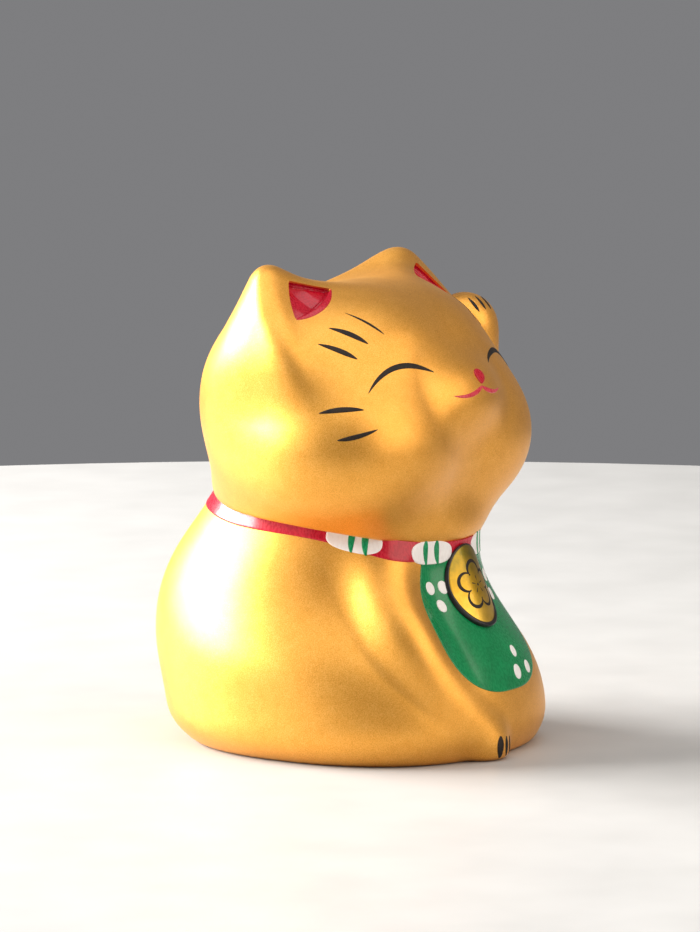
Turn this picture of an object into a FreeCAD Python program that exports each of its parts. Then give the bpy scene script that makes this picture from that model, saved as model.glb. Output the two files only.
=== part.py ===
"""Beckoning cat figurine: a slip-cast, hollow ceramic cat with enamel decoration.

Millimetres. +Z is up, the cat faces -Y and its left side is +X. The origin is on the surface that
the figurine stands on, on the axis of its trunk. Three castings (trunk, head, raised arm) meet on
plain seats. Every colour is a thin enamel film of its own: it lies on the casting, or on the film
under it, and it is cut to that surface.
"""
import FreeCAD, Part
import Sketcher
import math
import os

V = FreeCAD.Vector
DOC = FreeCAD.newDocument("beckoning_cat")
UP = V(0, 0, 1)
REACH = 120.0            # longer than any stretch of the figurine
LIMB_STEPS = 10          # straight spans that a limb is built from
LIMB_END_ANGLES = (25, 48, 68, 82)      # where the rings that round off a limb's end lie on its ball
RING_POINTS = 20         # points that a closed section curve is drawn through

# ---------------------------------------------------------------- driving dimensions
SIZES = {
    # casting
    "wall": 3.0,                    # slip-cast wall
    "base_wall": 3.2,               # floor of the trunk
    "drain_diameter": 9.0,          # hole that the slip is poured out of
    "drain_set_back": 10.0,         # from the trunk's axis
    "paint": 0.2,                   # one film of enamel
    # neck seat, a plane that rises towards the back
    "neck_level": 38.1,
    "neck_tilt": 9.8,
    "neck_bore": 30.0,
    "throat_rise": 7.0,             # how far the trunk's form runs on above the seat, to be cut there
    # head
    "skull_level": 55.0,
    "skull_set_back": -0.4,
    "skull_half_width": 28.9,
    "skull_half_depth": 21.5,
    "skull_half_height": 21.2,
    "skull_lean": 14.75,            # the face looks up by this much
    "cheek_half_width": 17.0,
    "cheek_half_depth": 15.9,
    "cheek_half_height": 14.1,
    "cheek_out": 13.4,
    "cheek_forward": 5.8,
    "cheek_drop": 7.1,
    "muzzle_half_width": 8.5,
    "muzzle_half_depth": 4.6,
    "muzzle_half_height": 5.2,
    "muzzle_forward": 20.1,
    "muzzle_drop": 2.0,
    "jaw_half_width": 21.4,
    "jaw_half_depth": 22.6,
    "jaw_half_height": 10.0,
    "jaw_rise": 1.6,                # centre of the jaw above the neck seat
    "jaw_set_back": 0.9,
    # ears: a tip that stands off the skull, and three feet sunk into it
    "ear_tip_bearing": 100.0,
    "ear_tip_pitch": 51.0,
    "ear_tip_stand": 12.9,
    "ear_inner_bearing": 25.5,
    "ear_inner_pitch": 69.8,
    "ear_outer_bearing": 80.0,
    "ear_outer_pitch": 19.0,
    "ear_back_bearing": 138.0,
    "ear_back_pitch": 24.0,
    "ear_root": 1.0,
    "ear_edge": 2.4,
    "lining_margin": 2.9,           # gold border beside the red triangle
    "lining_foot": 6.4,             # gold border below it, from the line of the ear's feet
    "recess_depth": 0.9,
    # coin
    "coin_half_width": 5.8,
    "coin_half_height": 7.1,
    "coin_level": 26.8,
    "coin_lean": 21.0,
    "coin_stand": 1.6,              # how far its face stands proud of the chest
    "coin_sink": 4.0,               # how deep its blank reaches before it is cut to the chest
    "coin_rim_width": 0.7,
    "coin_rim_step": 0.15,          # the rim's face lies this much lower
    "petal_radius": 1.15,
    "petal_circle": 1.75,
    "emblem_relief": 0.12,
    # enamel
    "collar_width": 2.9,
    "oval_half_length": 4.6,
    "oval_half_height": 2.2,
    "oval_drop": 1.9,               # centre of an oval below the neck seat
    "oval_inner_bearing": 20.5,
    "oval_outer_bearing": 54.5,
    "stripe_width": 1.0,
    "stripe_spacing": 3.0,
    "dot_radius": 0.95,
    "nose_half_width": 1.5,
    "nose_half_height": 1.2,
    "nose_pitch": 16.5,             # just above the meeting of the two lip strokes
    "bib_lowest": 10.7,
}

# Sections of the trunk, from the foot up: level, half width, depth in front, depth behind.
TRUNK_SECTIONS = {
    "foot": (0.0, 26.0, 29.7, 25.0),
    "heel": (2.5, 28.2, 31.2, 28.2),
    "haunch": (8.0, 29.2, 31.5, 30.6),
    "belly": (16.0, 28.8, 29.1, 33.4),
    "back": (24.0, 26.0, 23.9, 33.8),
    "shoulder": (31.0, 23.3, 21.3, 30.9),
    "nape": (37.0, 21.4, 21.1, 26.2),
    "throat": (None, 20.5, 20.1, 21.5),
}
SECTION_MEASURES = ("level", "half_width", "front", "rear")
SECTION_ROUNDNESS = 2.15            # superellipse exponent: 2 is an ellipse, more is squarer

# Stations of the right foreleg: bearing from the front, level, stand-off from the trunk, radius.
FORELEG = {
    "elbow": (60.0, 27.0, -4.0, 4.6),
    "forearm": (50.0, 25.0, -0.7, 5.4),
    "shin": (41.0, 18.0, -2.0, 5.6),
    "wrist": (27.7, 10.0, -4.0, 5.2),
    "paw": (12.0, 4.0, -2.6, 4.6),
}
FORELEG_MEASURES = ("bearing", "level", "stand", "radius")

# Stations of the raised left arm: place before the axis, level, stand-off, radius.
RAISED_ARM = {
    "shoulder": (7.0, 30.0, -4.5, 5.0),
    "elbow": (6.4, 38.5, 0.6, 5.3),
    "forearm": (7.6, 48.0, -2.4, 5.2),
    "wrist": (6.8, 58.0, -0.4, 4.9),
    "paw": (6.6, 67.2, 2.4, 5.7),
}
ARM_MEASURES = ("forward", "level", "stand", "radius")

# Brush strokes on the right of the face, mirrored on the left: bearing and pitch from the skull's
# centre, length, turn, bow and width.
FACE_STROKES = {
    "eye": (39.6, 15.4, 13.6, 16.1, 2.6, 0.75),
    "temple_upper": (53.1, 39.2, 7.2, -30.7, 0.25, 0.55),
    "temple_middle": (60.3, 32.5, 6.6, -18.8, 0.25, 0.8),
    "temple_lower": (64.1, 25.7, 6.5, -17.0, 0.2, 0.8),
    "whisker_upper": (61.9, 5.5, 7.1, 4.8, 0.3, 0.75),
    "whisker_lower": (57.0, -1.3, 6.1, 13.4, -0.2, 0.7),
    "mouth": (8.2, 10.8, 7.2, 10.0, -0.8, 0.7),
}
STROKE_MEASURES = ("bearing", "pitch", "length", "turn", "bow", "width")

# Edge of the right half of the bib, from the collar down: half width and level.
BIB_EDGE = {"collar": (9.7, 33.0), "chest": (13.2, 22.6), "hip": (12.9, 18.6), "hem": (7.6, 12.0)}
BIB_MEASURES = ("half_width", "level")
# White dots on the bib: offset to the cat's left, and level. The upper group is on both sides.
UPPER_DOTS = ((8.9, 27.6), (6.2, 27.5), (7.9, 24.7))
LOWER_DOTS = ((3.7, 16.3), (2.5, 13.2), (6.8, 13.4))

# Claw strokes: offset to the cat's left, level and length.
FORELEG_CLAWS = ((-6.7, 2.3, 3.6), (-4.4, 2.3, 3.4), (-2.2, 2.3, 3.2))
PAW_CLAWS = ((-3.0, 3.4), (-1.3, 3.3), (0.4, 3.1))


def fill_sheet():
    """Write every driving dimension into the spreadsheet, one row each, with its name as alias."""
    sheet = DOC.addObject("Spreadsheet::Sheet", "Sizes")
    rows = dict(SIZES)
    groups = ((TRUNK_SECTIONS, SECTION_MEASURES, "trunk"), (FORELEG, FORELEG_MEASURES, "foreleg"),
              (RAISED_ARM, ARM_MEASURES, "arm"), (FACE_STROKES, STROKE_MEASURES, "stroke"),
              (BIB_EDGE, BIB_MEASURES, "bib"))
    for group, measures, prefix in groups:
        for station, values in group.items():
            for measure, value in zip(measures, values):
                if value is not None:
                    rows[prefix + "_" + station + "_" + measure] = value
    for number, (name, value) in enumerate(rows.items(), start=1):
        sheet.set("A%d" % number, name)
        sheet.set("B%d" % number, str(value))
        sheet.setAlias("B%d" % number, name)
    DOC.recompute()
    return sheet


SHEET = fill_sheet()


def size(name):
    """A driving dimension, read back from the sheet."""
    return float(SHEET.get(name))


# ---------------------------------------------------------------- small geometry helpers
def bearing_vector(bearing, pitch=0.0):
    """Unit vector at a bearing from the front (towards the cat's left) and a pitch above level."""
    b = math.radians(bearing)
    p = math.radians(pitch)
    return V(math.sin(b) * math.cos(p), -math.cos(b) * math.cos(p), math.sin(p))


def level_side(direction):
    """Level unit vector across a direction, towards the cat's left when it points to the front."""
    return V(-direction.y, direction.x, 0).normalize()


def ring(centre, side, forward, half_width, front, rear, roundness=2.0):
    """Closed superellipse through evenly turned points: half_width along side, front and rear along forward."""
    middle = centre + forward * ((front - rear) / 2)
    half_depth = (front + rear) / 2
    points = []
    for step in range(RING_POINTS):
        angle = 2 * math.pi * step / RING_POINTS
        across = math.copysign(abs(math.cos(angle)) ** (2 / roundness), math.cos(angle))
        along = math.copysign(abs(math.sin(angle)) ** (2 / roundness), math.sin(angle))
        points.append(middle + side * (half_width * across) + forward * (half_depth * along))
    curve = Part.BSplineCurve()
    curve.interpolate(points, PeriodicFlag=True)
    return Part.Wire(curve.toShape())


def skin_point(form, start, direction, stand=0.0):
    """Where a ray from inside a solid leaves it, moved on by a stand-off."""
    inside = form.common(Part.makeLine(start, start + direction * REACH))
    exits = [vertex.Point for vertex in inside.Vertexes]
    farthest = max(exits, key=lambda point: (point - start).dot(direction))
    return farthest + direction * stand


def feature(label, shape):
    """A document object that holds a shape worked out here."""
    made = DOC.addObject("Part::Feature", label)
    made.Label = label
    made.Shape = shape
    return made


def cut(label, base, tool):
    """base minus tool."""
    made = DOC.addObject("Part::Cut", label)
    made.Label = label
    made.Base = base
    made.Tool = tool
    return made


def common(label, base, tool):
    """What base and tool share."""
    made = DOC.addObject("Part::Common", label)
    made.Label = label
    made.Base = base
    made.Tool = tool
    return made


def fuse(label, shapes):
    """All the shapes as one."""
    made = DOC.addObject("Part::MultiFuse", label)
    made.Label = label
    made.Shapes = shapes
    return made


def cylinder(label, radius, height, base=V(0, 0, 0)):
    """A cylinder along +Z whose radius and height are expressions on the sheet."""
    made = DOC.addObject("Part::Cylinder", label)
    made.setExpression("Radius", radius)
    made.setExpression("Height", height)
    made.Placement = FreeCAD.Placement(base, FreeCAD.Rotation())
    return made


# ---------------------------------------------------------------- forms that the castings are cut from
def neck_space():
    """All that is above the neck seat."""
    made = cylinder("above_neck", str(REACH), str(REACH))
    made.Placement.Rotation = FreeCAD.Rotation(V(1, 0, 0), size("neck_tilt"))
    made.setExpression("Placement.Base.z", "Sizes.neck_level")
    return made


def trunk_form(label, grow):
    """Loft through the trunk's sections, each grown outwards by the same amount."""
    rings = []
    for station in TRUNK_SECTIONS:
        key = "trunk_" + station + "_"
        if station == "throat":
            level = size("neck_level") + size("throat_rise")
        else:
            level = size(key + "level")
        rings.append(ring(V(0, 0, level), V(1, 0, 0), V(0, -1, 0), size(key + "half_width") + grow,
                          size(key + "front") + grow, size(key + "rear") + grow, SECTION_ROUNDNESS))
    return feature(label, Part.makeLoft(rings, True, False))


def limb(label, centres, radii):
    """A rounded limb: ruled between rings square to a smooth path, with rings that close in past each end."""
    path = Part.BSplineCurve()
    path.interpolate(centres)
    knots = [path.parameter(centre) for centre in centres]
    stations = []
    for step in range(LIMB_STEPS + 1):
        along_path = knots[0] + (knots[-1] - knots[0]) * step / LIMB_STEPS
        span = max(index for index, knot in enumerate(knots[:-1]) if knot <= along_path + 1e-9)
        share = (along_path - knots[span]) / (knots[span + 1] - knots[span])
        radius = radii[span] + (radii[span + 1] - radii[span]) * share
        stations.append((path.value(along_path), V(*path.tangent(along_path)[0]), radius))
    closing = [(math.sin(math.radians(angle)), math.cos(math.radians(angle))) for angle in LIMB_END_ANGLES]
    first, last = stations[0], stations[-1]
    start = [(first[0] - first[1] * (first[2] * past), first[1], first[2] * share) for past, share in closing]
    end = [(last[0] + last[1] * (last[2] * past), last[1], last[2] * share) for past, share in closing]
    rings = []
    for centre, along, radius in start[::-1] + stations + end:
        circle = Part.Circle(centre, along, radius)
        circle.XAxis = along.cross(V(1, 0, 0)).normalize()
        rings.append(Part.Wire(circle.toShape()))
    return feature(label, Part.makeLoft(rings, True, True))


def foreleg_form(label, trunk, grow):
    """The right foreleg, a ridge that runs down the front of the trunk to a paw."""
    centres = []
    radii = []
    for station in FORELEG:
        key = "foreleg_" + station + "_"
        outward = bearing_vector(-size(key + "bearing"))
        start = V(0, 0, size(key + "level"))
        centres.append(skin_point(trunk, start, outward, size(key + "stand")))
        radii.append(size(key + "radius") + grow)
    return limb(label, centres, radii)


def ellipsoid(label, name, grow, across, forward, level, turn):
    """An ellipsoid with the named half sizes grown by an expression, placed by expressions and turned about X."""
    made = DOC.addObject("Part::Ellipsoid", label)
    made.Angle1 = -90
    made.Angle2 = 90
    made.Angle3 = 360
    made.setExpression("Radius1", "Sizes." + name + "_half_height" + grow)
    made.setExpression("Radius2", "Sizes." + name + "_half_width" + grow)
    made.setExpression("Radius3", "Sizes." + name + "_half_depth" + grow)
    made.setExpression("Placement.Base.x", across)
    made.setExpression("Placement.Base.y", forward)
    made.setExpression("Placement.Base.z", level)
    made.Placement.Rotation = FreeCAD.Rotation(V(1, 0, 0), turn)
    return made


def leaned(forward, rise):
    """Expressions for the place of a point that is fixed to the skull and leans back with it."""
    lean = "Sizes.skull_lean * 1deg"
    y = "Sizes.skull_set_back - (%s) * cos(%s) + (%s) * sin(%s)" % (forward, lean, rise, lean)
    z = "Sizes.skull_level + (%s) * sin(%s) + (%s) * cos(%s)" % (forward, lean, rise, lean)
    return y, z


def head_form(prefix, grow, whole=True):
    """Skull, cheeks, muzzle and jaw as one soft form, each grown by an expression."""
    lean = -size("skull_lean")
    pieces = [ellipsoid(prefix + "_skull", "skull", grow, "0", "Sizes.skull_set_back", "Sizes.skull_level", lean)]
    cheek_y, cheek_z = leaned("Sizes.cheek_forward", "-Sizes.cheek_drop")
    for side, sign in (("right", "-"), ("left", "")):
        pieces.append(ellipsoid(prefix + "_cheek_" + side, "cheek", grow, sign + "Sizes.cheek_out",
                                cheek_y, cheek_z, lean))
    if whole:
        muzzle_y, muzzle_z = leaned("Sizes.muzzle_forward", "-Sizes.muzzle_drop")
        pieces.append(ellipsoid(prefix + "_muzzle", "muzzle", grow, "0", muzzle_y, muzzle_z, lean))
        pieces.append(ellipsoid(prefix + "_jaw", "jaw", grow, "0", "Sizes.jaw_set_back",
                                "Sizes.neck_level + Sizes.jaw_rise", size("neck_tilt")))
    return fuse(prefix + "_form", pieces)


# ---------------------------------------------------------------- trunk
ABOVE_NECK = neck_space()
FLOOR_UP = cylinder("floor_up", str(REACH), str(REACH))
TRUNK_SPACE = cut("trunk_space", FLOOR_UP, ABOVE_NECK)


def trunk_skin(label, films, with_leg):
    """Outer form of the trunk under a number of enamel films, with the foreleg where they reach it."""
    grow = films * size("paint")
    body = trunk_form(label + "_body", grow)
    if with_leg:
        leg = foreleg_form(label + "_leg", TRUNK_BODY, grow)
        body = fuse(label + "_whole", [body, leg])
    return common(label, body, TRUNK_SPACE)


TRUNK_BODY = trunk_form("trunk_body", 0).Shape
TRUNK_SKINS = [trunk_skin("trunk_skin_%d" % films, films, films < 2) for films in range(4)]
DOC.recompute()


def make_trunk_shell():
    """The hollow trunk: open at the neck, with a drain hole in its floor."""
    inner = trunk_form("trunk_inner", -size("wall"))
    floor = cylinder("trunk_floor", str(REACH), "Sizes.base_wall")
    hollow = cut("trunk_hollow", inner, floor)
    drain = cylinder("drain", "Sizes.drain_diameter / 2", "2 * Sizes.base_wall + 2", V(0, 0, -1))
    drain.setExpression("Placement.Base.y", "Sizes.drain_set_back")
    return cut("trunk_shell", TRUNK_SKINS[0], fuse("trunk_voids", [hollow, drain]))


# ---------------------------------------------------------------- head
def skull_surface(bearing, pitch, stand):
    """A point off the skull's surface, found along a ray from the skull's centre."""
    centre = V(0, size("skull_set_back"), size("skull_level"))
    direction = bearing_vector(bearing, pitch)
    leant = FreeCAD.Rotation(V(1, 0, 0), size("skull_lean")).multVec(direction)
    halves = V(size("skull_half_width"), size("skull_half_depth"), size("skull_half_height"))
    stretch = math.sqrt((leant.x / halves.x) ** 2 + (leant.y / halves.y) ** 2 + (leant.z / halves.z) ** 2)
    return centre + direction * (1 / stretch + stand)


def ear_corners():
    """Tip and three feet of the left ear."""
    corners = {"tip": skull_surface(size("ear_tip_bearing"), size("ear_tip_pitch"), size("ear_tip_stand"))}
    for foot in ("inner", "outer", "back"):
        key = "ear_" + foot + "_"
        corners[foot] = skull_surface(size(key + "bearing"), size(key + "pitch"), -size("ear_root"))
    return corners


def triangle_face(corners):
    """A flat triangle."""
    return Part.Face(Part.makePolygon(list(corners) + [corners[0]]))


def ear_solid():
    """A three-sided pyramid with its three rising edges rounded."""
    at = ear_corners()
    tip, inner, outer, back = at["tip"], at["inner"], at["outer"], at["back"]
    sides = [(tip, inner, outer), (tip, outer, back), (tip, back, inner), (inner, back, outer)]
    solid = Part.Solid(Part.Shell([triangle_face(side) for side in sides]))
    if solid.Volume < 0:
        solid.reverse()
    rising = [edge for edge in solid.Edges
              if min((vertex.Point - tip).Length for vertex in edge.Vertexes) < 1e-6]
    return solid.makeFillet(size("ear_edge"), rising)


def lining_prism(depth_from, depth_to):
    """The ear's inset triangle, as a prism between two depths below its front face."""
    at = ear_corners()
    tip, inner, outer = at["tip"], at["inner"], at["outer"]
    area = (inner - tip).cross(outer - tip).Length
    margin = size("lining_margin")
    share_inner = margin * (outer - tip).Length / area
    share_outer = margin * (inner - tip).Length / area
    share_foot = size("lining_foot") * (outer - inner).Length / area

    def blend(w_tip, w_inner, w_outer):
        return tip * w_tip + inner * w_inner + outer * w_outer

    corners = [blend(1 - share_inner - share_outer, share_inner, share_outer),
               blend(share_foot, 1 - share_foot - share_outer, share_outer),
               blend(share_foot, share_inner, 1 - share_foot - share_inner)]
    inward = (inner - tip).cross(outer - tip).normalize()
    if inward.y < 0:
        inward = inward * -1
    moved = [corner + inward * depth_from for corner in corners]
    return triangle_face(moved).extrude(inward * (depth_to - depth_from))


def mirrored(label, source):
    """The same shape on the cat's other side."""
    made = DOC.addObject("Part::Mirroring", label)
    made.Label = label
    made.Source = source
    made.Normal = V(1, 0, 0)
    return made


def make_head_castings():
    """The whole head, solid, with its ears and the recesses for their linings."""
    form = head_form("head", "")
    ear_left = feature("ear_left", ear_solid())
    ear_right = mirrored("ear_right", ear_left)
    recess_left = feature("ear_recess_left", lining_prism(-3.0, size("recess_depth")))
    recess_right = mirrored("ear_recess_right", recess_left)
    whole = fuse("head_whole", [form, ear_left, ear_right])
    carved = cut("head_carved", whole, fuse("ear_recesses", [recess_left, recess_right]))
    return common("head_skin", carved, ABOVE_NECK)


HEAD_SKIN = make_head_castings()
HEAD_PAINTED = common("head_painted", head_form("film", " + Sizes.paint"), ABOVE_NECK)
DOC.recompute()


def make_head_shell():
    """The hollow head, open at the neck."""
    hollow = head_form("hollow", " - Sizes.wall", whole=False)
    bore = cylinder("neck_bore", "Sizes.neck_bore / 2", "Sizes.jaw_rise + Sizes.jaw_half_height")
    bore.Placement.Rotation = FreeCAD.Rotation(V(1, 0, 0), size("neck_tilt"))
    bore.setExpression("Placement.Base.z", "Sizes.neck_level")
    return cut("head_shell", HEAD_SKIN, fuse("head_voids", [hollow, bore]))


def make_ear_linings():
    """Red enamel on the floor of each ear recess."""
    depth = size("recess_depth")
    left = feature("ear_lining_left", lining_prism(depth - 1.5 * size("paint"), depth))
    return [left, mirrored("ear_lining_right", left)]


# ---------------------------------------------------------------- raised arm
CASTING_BLOCK = fuse("casting_block", [TRUNK_SKINS[0], HEAD_SKIN])
DOC.recompute()


def arm_stations():
    """Centres of the raised arm's sections, each set off from the side of the cat."""
    centres = []
    for station in RAISED_ARM:
        key = "arm_" + station + "_"
        start = V(0, -size(key + "forward"), size(key + "level"))
        centres.append(skin_point(CASTING_BLOCK.Shape, start, V(1, 0, 0), size(key + "stand")))
    return centres


def arm_form(label, grow):
    """The raised left arm, before it is seated."""
    radii = [size("arm_" + station + "_radius") + grow for station in RAISED_ARM]
    return limb(label, arm_stations(), radii)


ARM_SOLID = arm_form("arm_form", 0)
ARM_PAINTED = arm_form("arm_painted", size("paint"))


def make_raised_arm():
    """The arm, cut to the trunk and head that it is luted to."""
    return cut("raised_arm", ARM_SOLID, CASTING_BLOCK)


# ---------------------------------------------------------------- enamel films
def stroke_face(centre, side, up, length, turn, bow, width):
    """A spindle between two arcs: a brush stroke that is pointed at both ends."""
    angle = math.radians(turn)
    along = side * math.cos(angle) + up * math.sin(angle)
    over = up * math.cos(angle) - side * math.sin(angle)
    start = centre - along * (length / 2)
    end = centre + along * (length / 2)
    edges = []
    for first, last, height in ((start, end, bow + width / 2), (end, start, bow - width / 2)):
        if abs(height) < 0.02:
            edges.append(Part.makeLine(first, last))
        else:
            edges.append(Part.Arc(first, centre + over * height, last).toShape())
    return Part.Face(Part.Wire(edges))


def stencil(face, direction, depth=5.0):
    """A straight prism through the surface that a mark is painted on."""
    face = face.copy()
    face.translate(direction * -depth)
    return face.extrude(direction * (2 * depth))


def face_stroke(name, left):
    """Stencil of one stroke on the face; the left one mirrors the right one."""
    key = "stroke_" + name + "_"
    sign = 1 if left else -1
    bearing = sign * size(key + "bearing")
    pitch = size(key + "pitch")
    direction = bearing_vector(bearing, pitch)
    side = level_side(direction)
    face = stroke_face(skull_surface(bearing, pitch, 0), side, direction.cross(side), size(key + "length"),
                       -sign * size(key + "turn"), size(key + "bow"), size(key + "width"))
    return stencil(face, direction)


def oval_face(centre, side, up, half_width, half_height, roundness=2.0):
    """A flat oval."""
    return Part.Face(ring(centre, side, up, half_width, half_height, half_height, roundness))


def painted(label, skin, stencils, under):
    """A film: what a grown skin and its stencils share, less each thing that lies under it."""
    pattern = feature(label + "_stencil", Part.makeCompound(stencils))
    film = common(label + "_patch", skin, pattern)
    for number, ground in enumerate(under, start=1):
        last = number == len(under)
        film = cut(label if last else label + "_over_%d" % number, film, ground)
    return film


def make_face_marks():
    """Eyes, temple strokes and whiskers on both sides, then the nose and mouth."""
    marks = []
    groups = {"eye": ("eye",), "temple_strokes": ("temple_upper", "temple_middle", "temple_lower"),
              "whiskers": ("whisker_upper", "whisker_lower")}
    for group, names in groups.items():
        for side, left in (("right", False), ("left", True)):
            stencils = [face_stroke(name, left) for name in names]
            marks.append(painted(group + "_" + side, HEAD_PAINTED, stencils, [HEAD_SKIN]))
    direction = bearing_vector(0, size("nose_pitch"))
    side = level_side(direction)
    nose = oval_face(skull_surface(0, size("nose_pitch"), 0), side, direction.cross(side),
                     size("nose_half_width"), size("nose_half_height"))
    nose_film = painted("nose", HEAD_PAINTED, [stencil(nose, direction)], [HEAD_SKIN])
    lips = face_stroke("mouth", False).fuse(face_stroke("mouth", True))
    marks += [nose_film, painted("mouth", HEAD_PAINTED, [lips], [HEAD_SKIN, nose_film])]
    return marks


def neck_frame(bearing):
    """Axis point, outward, side and up vectors of the collar at a bearing round the tilted neck."""
    tilt = FreeCAD.Rotation(V(1, 0, 0), size("neck_tilt"))
    outward = tilt.multVec(bearing_vector(bearing))
    side = tilt.multVec(level_side(bearing_vector(bearing)))
    return V(0, 0, size("neck_level")), outward, side, tilt.multVec(UP)


def make_collar():
    """Red band under the neck seat, four white ovals on it, and two green stripes on each oval."""
    below = cylinder("collar_floor", str(REACH), str(REACH))
    below.Placement.Rotation = FreeCAD.Rotation(V(1, 0, 0), size("neck_tilt"))
    below.setExpression("Placement.Base.z", "Sizes.neck_level - Sizes.collar_width / cos(Sizes.neck_tilt * 1deg)")
    band = cut("collar_band", common("collar_ring", TRUNK_SKINS[1], below), TRUNK_SKINS[0])
    films = [band]
    inner = size("oval_inner_bearing")
    outer = size("oval_outer_bearing")
    places = {"outer_right": -outer, "inner_right": -inner, "inner_left": inner, "outer_left": outer}
    for place, bearing in places.items():
        axis, outward, side, up = neck_frame(bearing)
        level = axis - up * size("oval_drop")
        centre = skin_point(TRUNK_SKINS[0].Shape, level, outward)
        oval = oval_face(centre, side, up, size("oval_half_length"), size("oval_half_height"), 2.4)
        oval_film = painted("collar_oval_" + place, TRUNK_SKINS[2], [stencil(oval, outward)],
                            [TRUNK_SKINS[0], band])
        stripes = []
        for step in (-0.5, 0.5):
            middle = centre + side * (step * size("stripe_spacing"))
            length = 2 * size("oval_half_height") - 0.4
            stripes.append(stencil(stroke_face(middle, up, side * -1, length, 0, 0.15,
                                               size("stripe_width")), outward))
        stripe_film = painted("oval_stripes_" + place, TRUNK_SKINS[3], stripes,
                              [TRUNK_SKINS[0], band, oval_film])
        films += [oval_film, stripe_film]
    return films


def chest_stencil(across, level, half_width, half_height):
    """A dot on the chest, at an offset to the cat's left and a level."""
    forward = V(0, -1, 0)
    centre = skin_point(TRUNK_SKINS[0].Shape, V(across, 0, level), forward)
    return stencil(oval_face(centre, V(1, 0, 0), UP, half_width, half_height), forward)


def make_bib(collar):
    """Green bib below the collar, and the three groups of white dots on it."""
    forward = V(0, -1, 0)
    top = size("neck_level")
    edge = [(size("bib_" + place + "_half_width"), size("bib_" + place + "_level")) for place in BIB_EDGE]
    left = [V(across, 0, level) for across, level in edge]
    right = [V(-across, 0, level) for across, level in edge]
    curve = Part.BSplineCurve()
    curve.interpolate(left + [V(0, 0, size("bib_lowest"))] + right[::-1])
    head_line = [right[0], V(right[0].x, 0, top), V(left[0].x, 0, top), left[0]]
    outline = Part.Wire([curve.toShape()] + Part.makePolygon(head_line).Edges)
    pattern = Part.Face(outline).extrude(forward * REACH)
    bib = painted("bib", TRUNK_SKINS[1], [pattern], [TRUNK_SKINS[0]] + collar)
    dot = size("dot_radius")
    groups = {"left": [(across, level) for across, level in UPPER_DOTS],
              "right": [(-across, level) for across, level in UPPER_DOTS], "lower": list(LOWER_DOTS)}
    films = [bib]
    for group, places in groups.items():
        stencils = [chest_stencil(across, level, dot, 1.15 * dot) for across, level in places]
        films.append(painted("bib_dots_" + group, TRUNK_SKINS[2], stencils, [TRUNK_SKINS[0], bib]))
    return films


def make_claws():
    """Dark strokes between the toes of both paws."""
    forward = V(0, -1, 0)
    stencils = []
    for across, level, length in FORELEG_CLAWS:
        centre = skin_point(TRUNK_SKINS[0].Shape, V(across, 0, level), forward)
        stencils.append(stencil(stroke_face(centre, UP, V(-1, 0, 0), length, 0, 0.1, 0.9), forward))
    foreleg = painted("foreleg_claws", TRUNK_SKINS[1], stencils, [TRUNK_SKINS[0]])
    paw = arm_stations()[-1]
    direction = bearing_vector(-8, 48)
    side = level_side(direction)
    up = direction.cross(side)
    stencils = []
    for across, length in PAW_CLAWS:
        centre = paw + direction * size("arm_paw_radius") + side * across
        stencils.append(stencil(stroke_face(centre, up, side * -1, length, 0, 0.1, 0.7), direction, 4.0))
    raised = painted("raised_paw_claws", ARM_PAINTED, stencils, [ARM_SOLID, CASTING_BLOCK])
    return [foreleg, raised]


# ---------------------------------------------------------------- coin
def plane_of(body, role):
    """One of a body's own origin planes."""
    return next(item for item in body.Origin.OriginFeatures if item.Role == role)


def add_sketch(body, label, level):
    """A sketch on the body's XY plane, raised by an expression."""
    sketch = body.newObject("Sketcher::SketchObject", label)
    sketch.AttachmentSupport = (plane_of(body, "XY_Plane"), [""])
    sketch.MapMode = "FlatFace"
    sketch.setExpression("AttachmentOffset.Base.z", level)
    return sketch


def pad(body, sketch, length):
    """A pad of a sketch, with its length bound to the sheet."""
    made = body.newObject("PartDesign::Pad", sketch.Label + "_pad")
    made.Profile = sketch
    made.setExpression("Length", length)
    return made


def add_oval(sketch, shrink):
    """An upright oval round the sketch's origin, inside the coin's outline by an expression."""
    sizes = {"coin_half_height": 1, "coin_half_width": 2}
    first = sketch.addGeometry(Part.Ellipse(V(0, 7, 0), V(5, 0, 0), V(0, 0, 0)), False)
    sketch.exposeInternalGeometry(first)
    sketch.addConstraint(Sketcher.Constraint("Coincident", first, 3, -1, 1))
    sketch.addConstraint(Sketcher.Constraint("Vertical", first + 1))
    for name, axis in sizes.items():
        number = sketch.addConstraint(Sketcher.Constraint("Distance", first + axis, 2 * size(name)))
        sketch.setExpression("Constraints[%d]" % number, "2 * (Sizes.%s - %s)" % (name, shrink))


def coin_placement():
    """Place of a coin body: its face plane stands proud of the chest, and leans back with it."""
    lean = FreeCAD.Rotation(V(1, 0, 0), 90 - size("coin_lean"))
    outward = lean.multVec(UP)
    seat = skin_point(TRUNK_SKINS[0].Shape, V(0, 0, size("coin_level")), V(0, -1, 0))
    return FreeCAD.Placement(seat + outward * (size("coin_stand") - size("coin_sink")), lean)


def coin_body(label):
    """An empty body at the coin's place."""
    body = DOC.addObject("PartDesign::Body", label)
    body.Label = label
    body.Placement = coin_placement()
    return body


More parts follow.
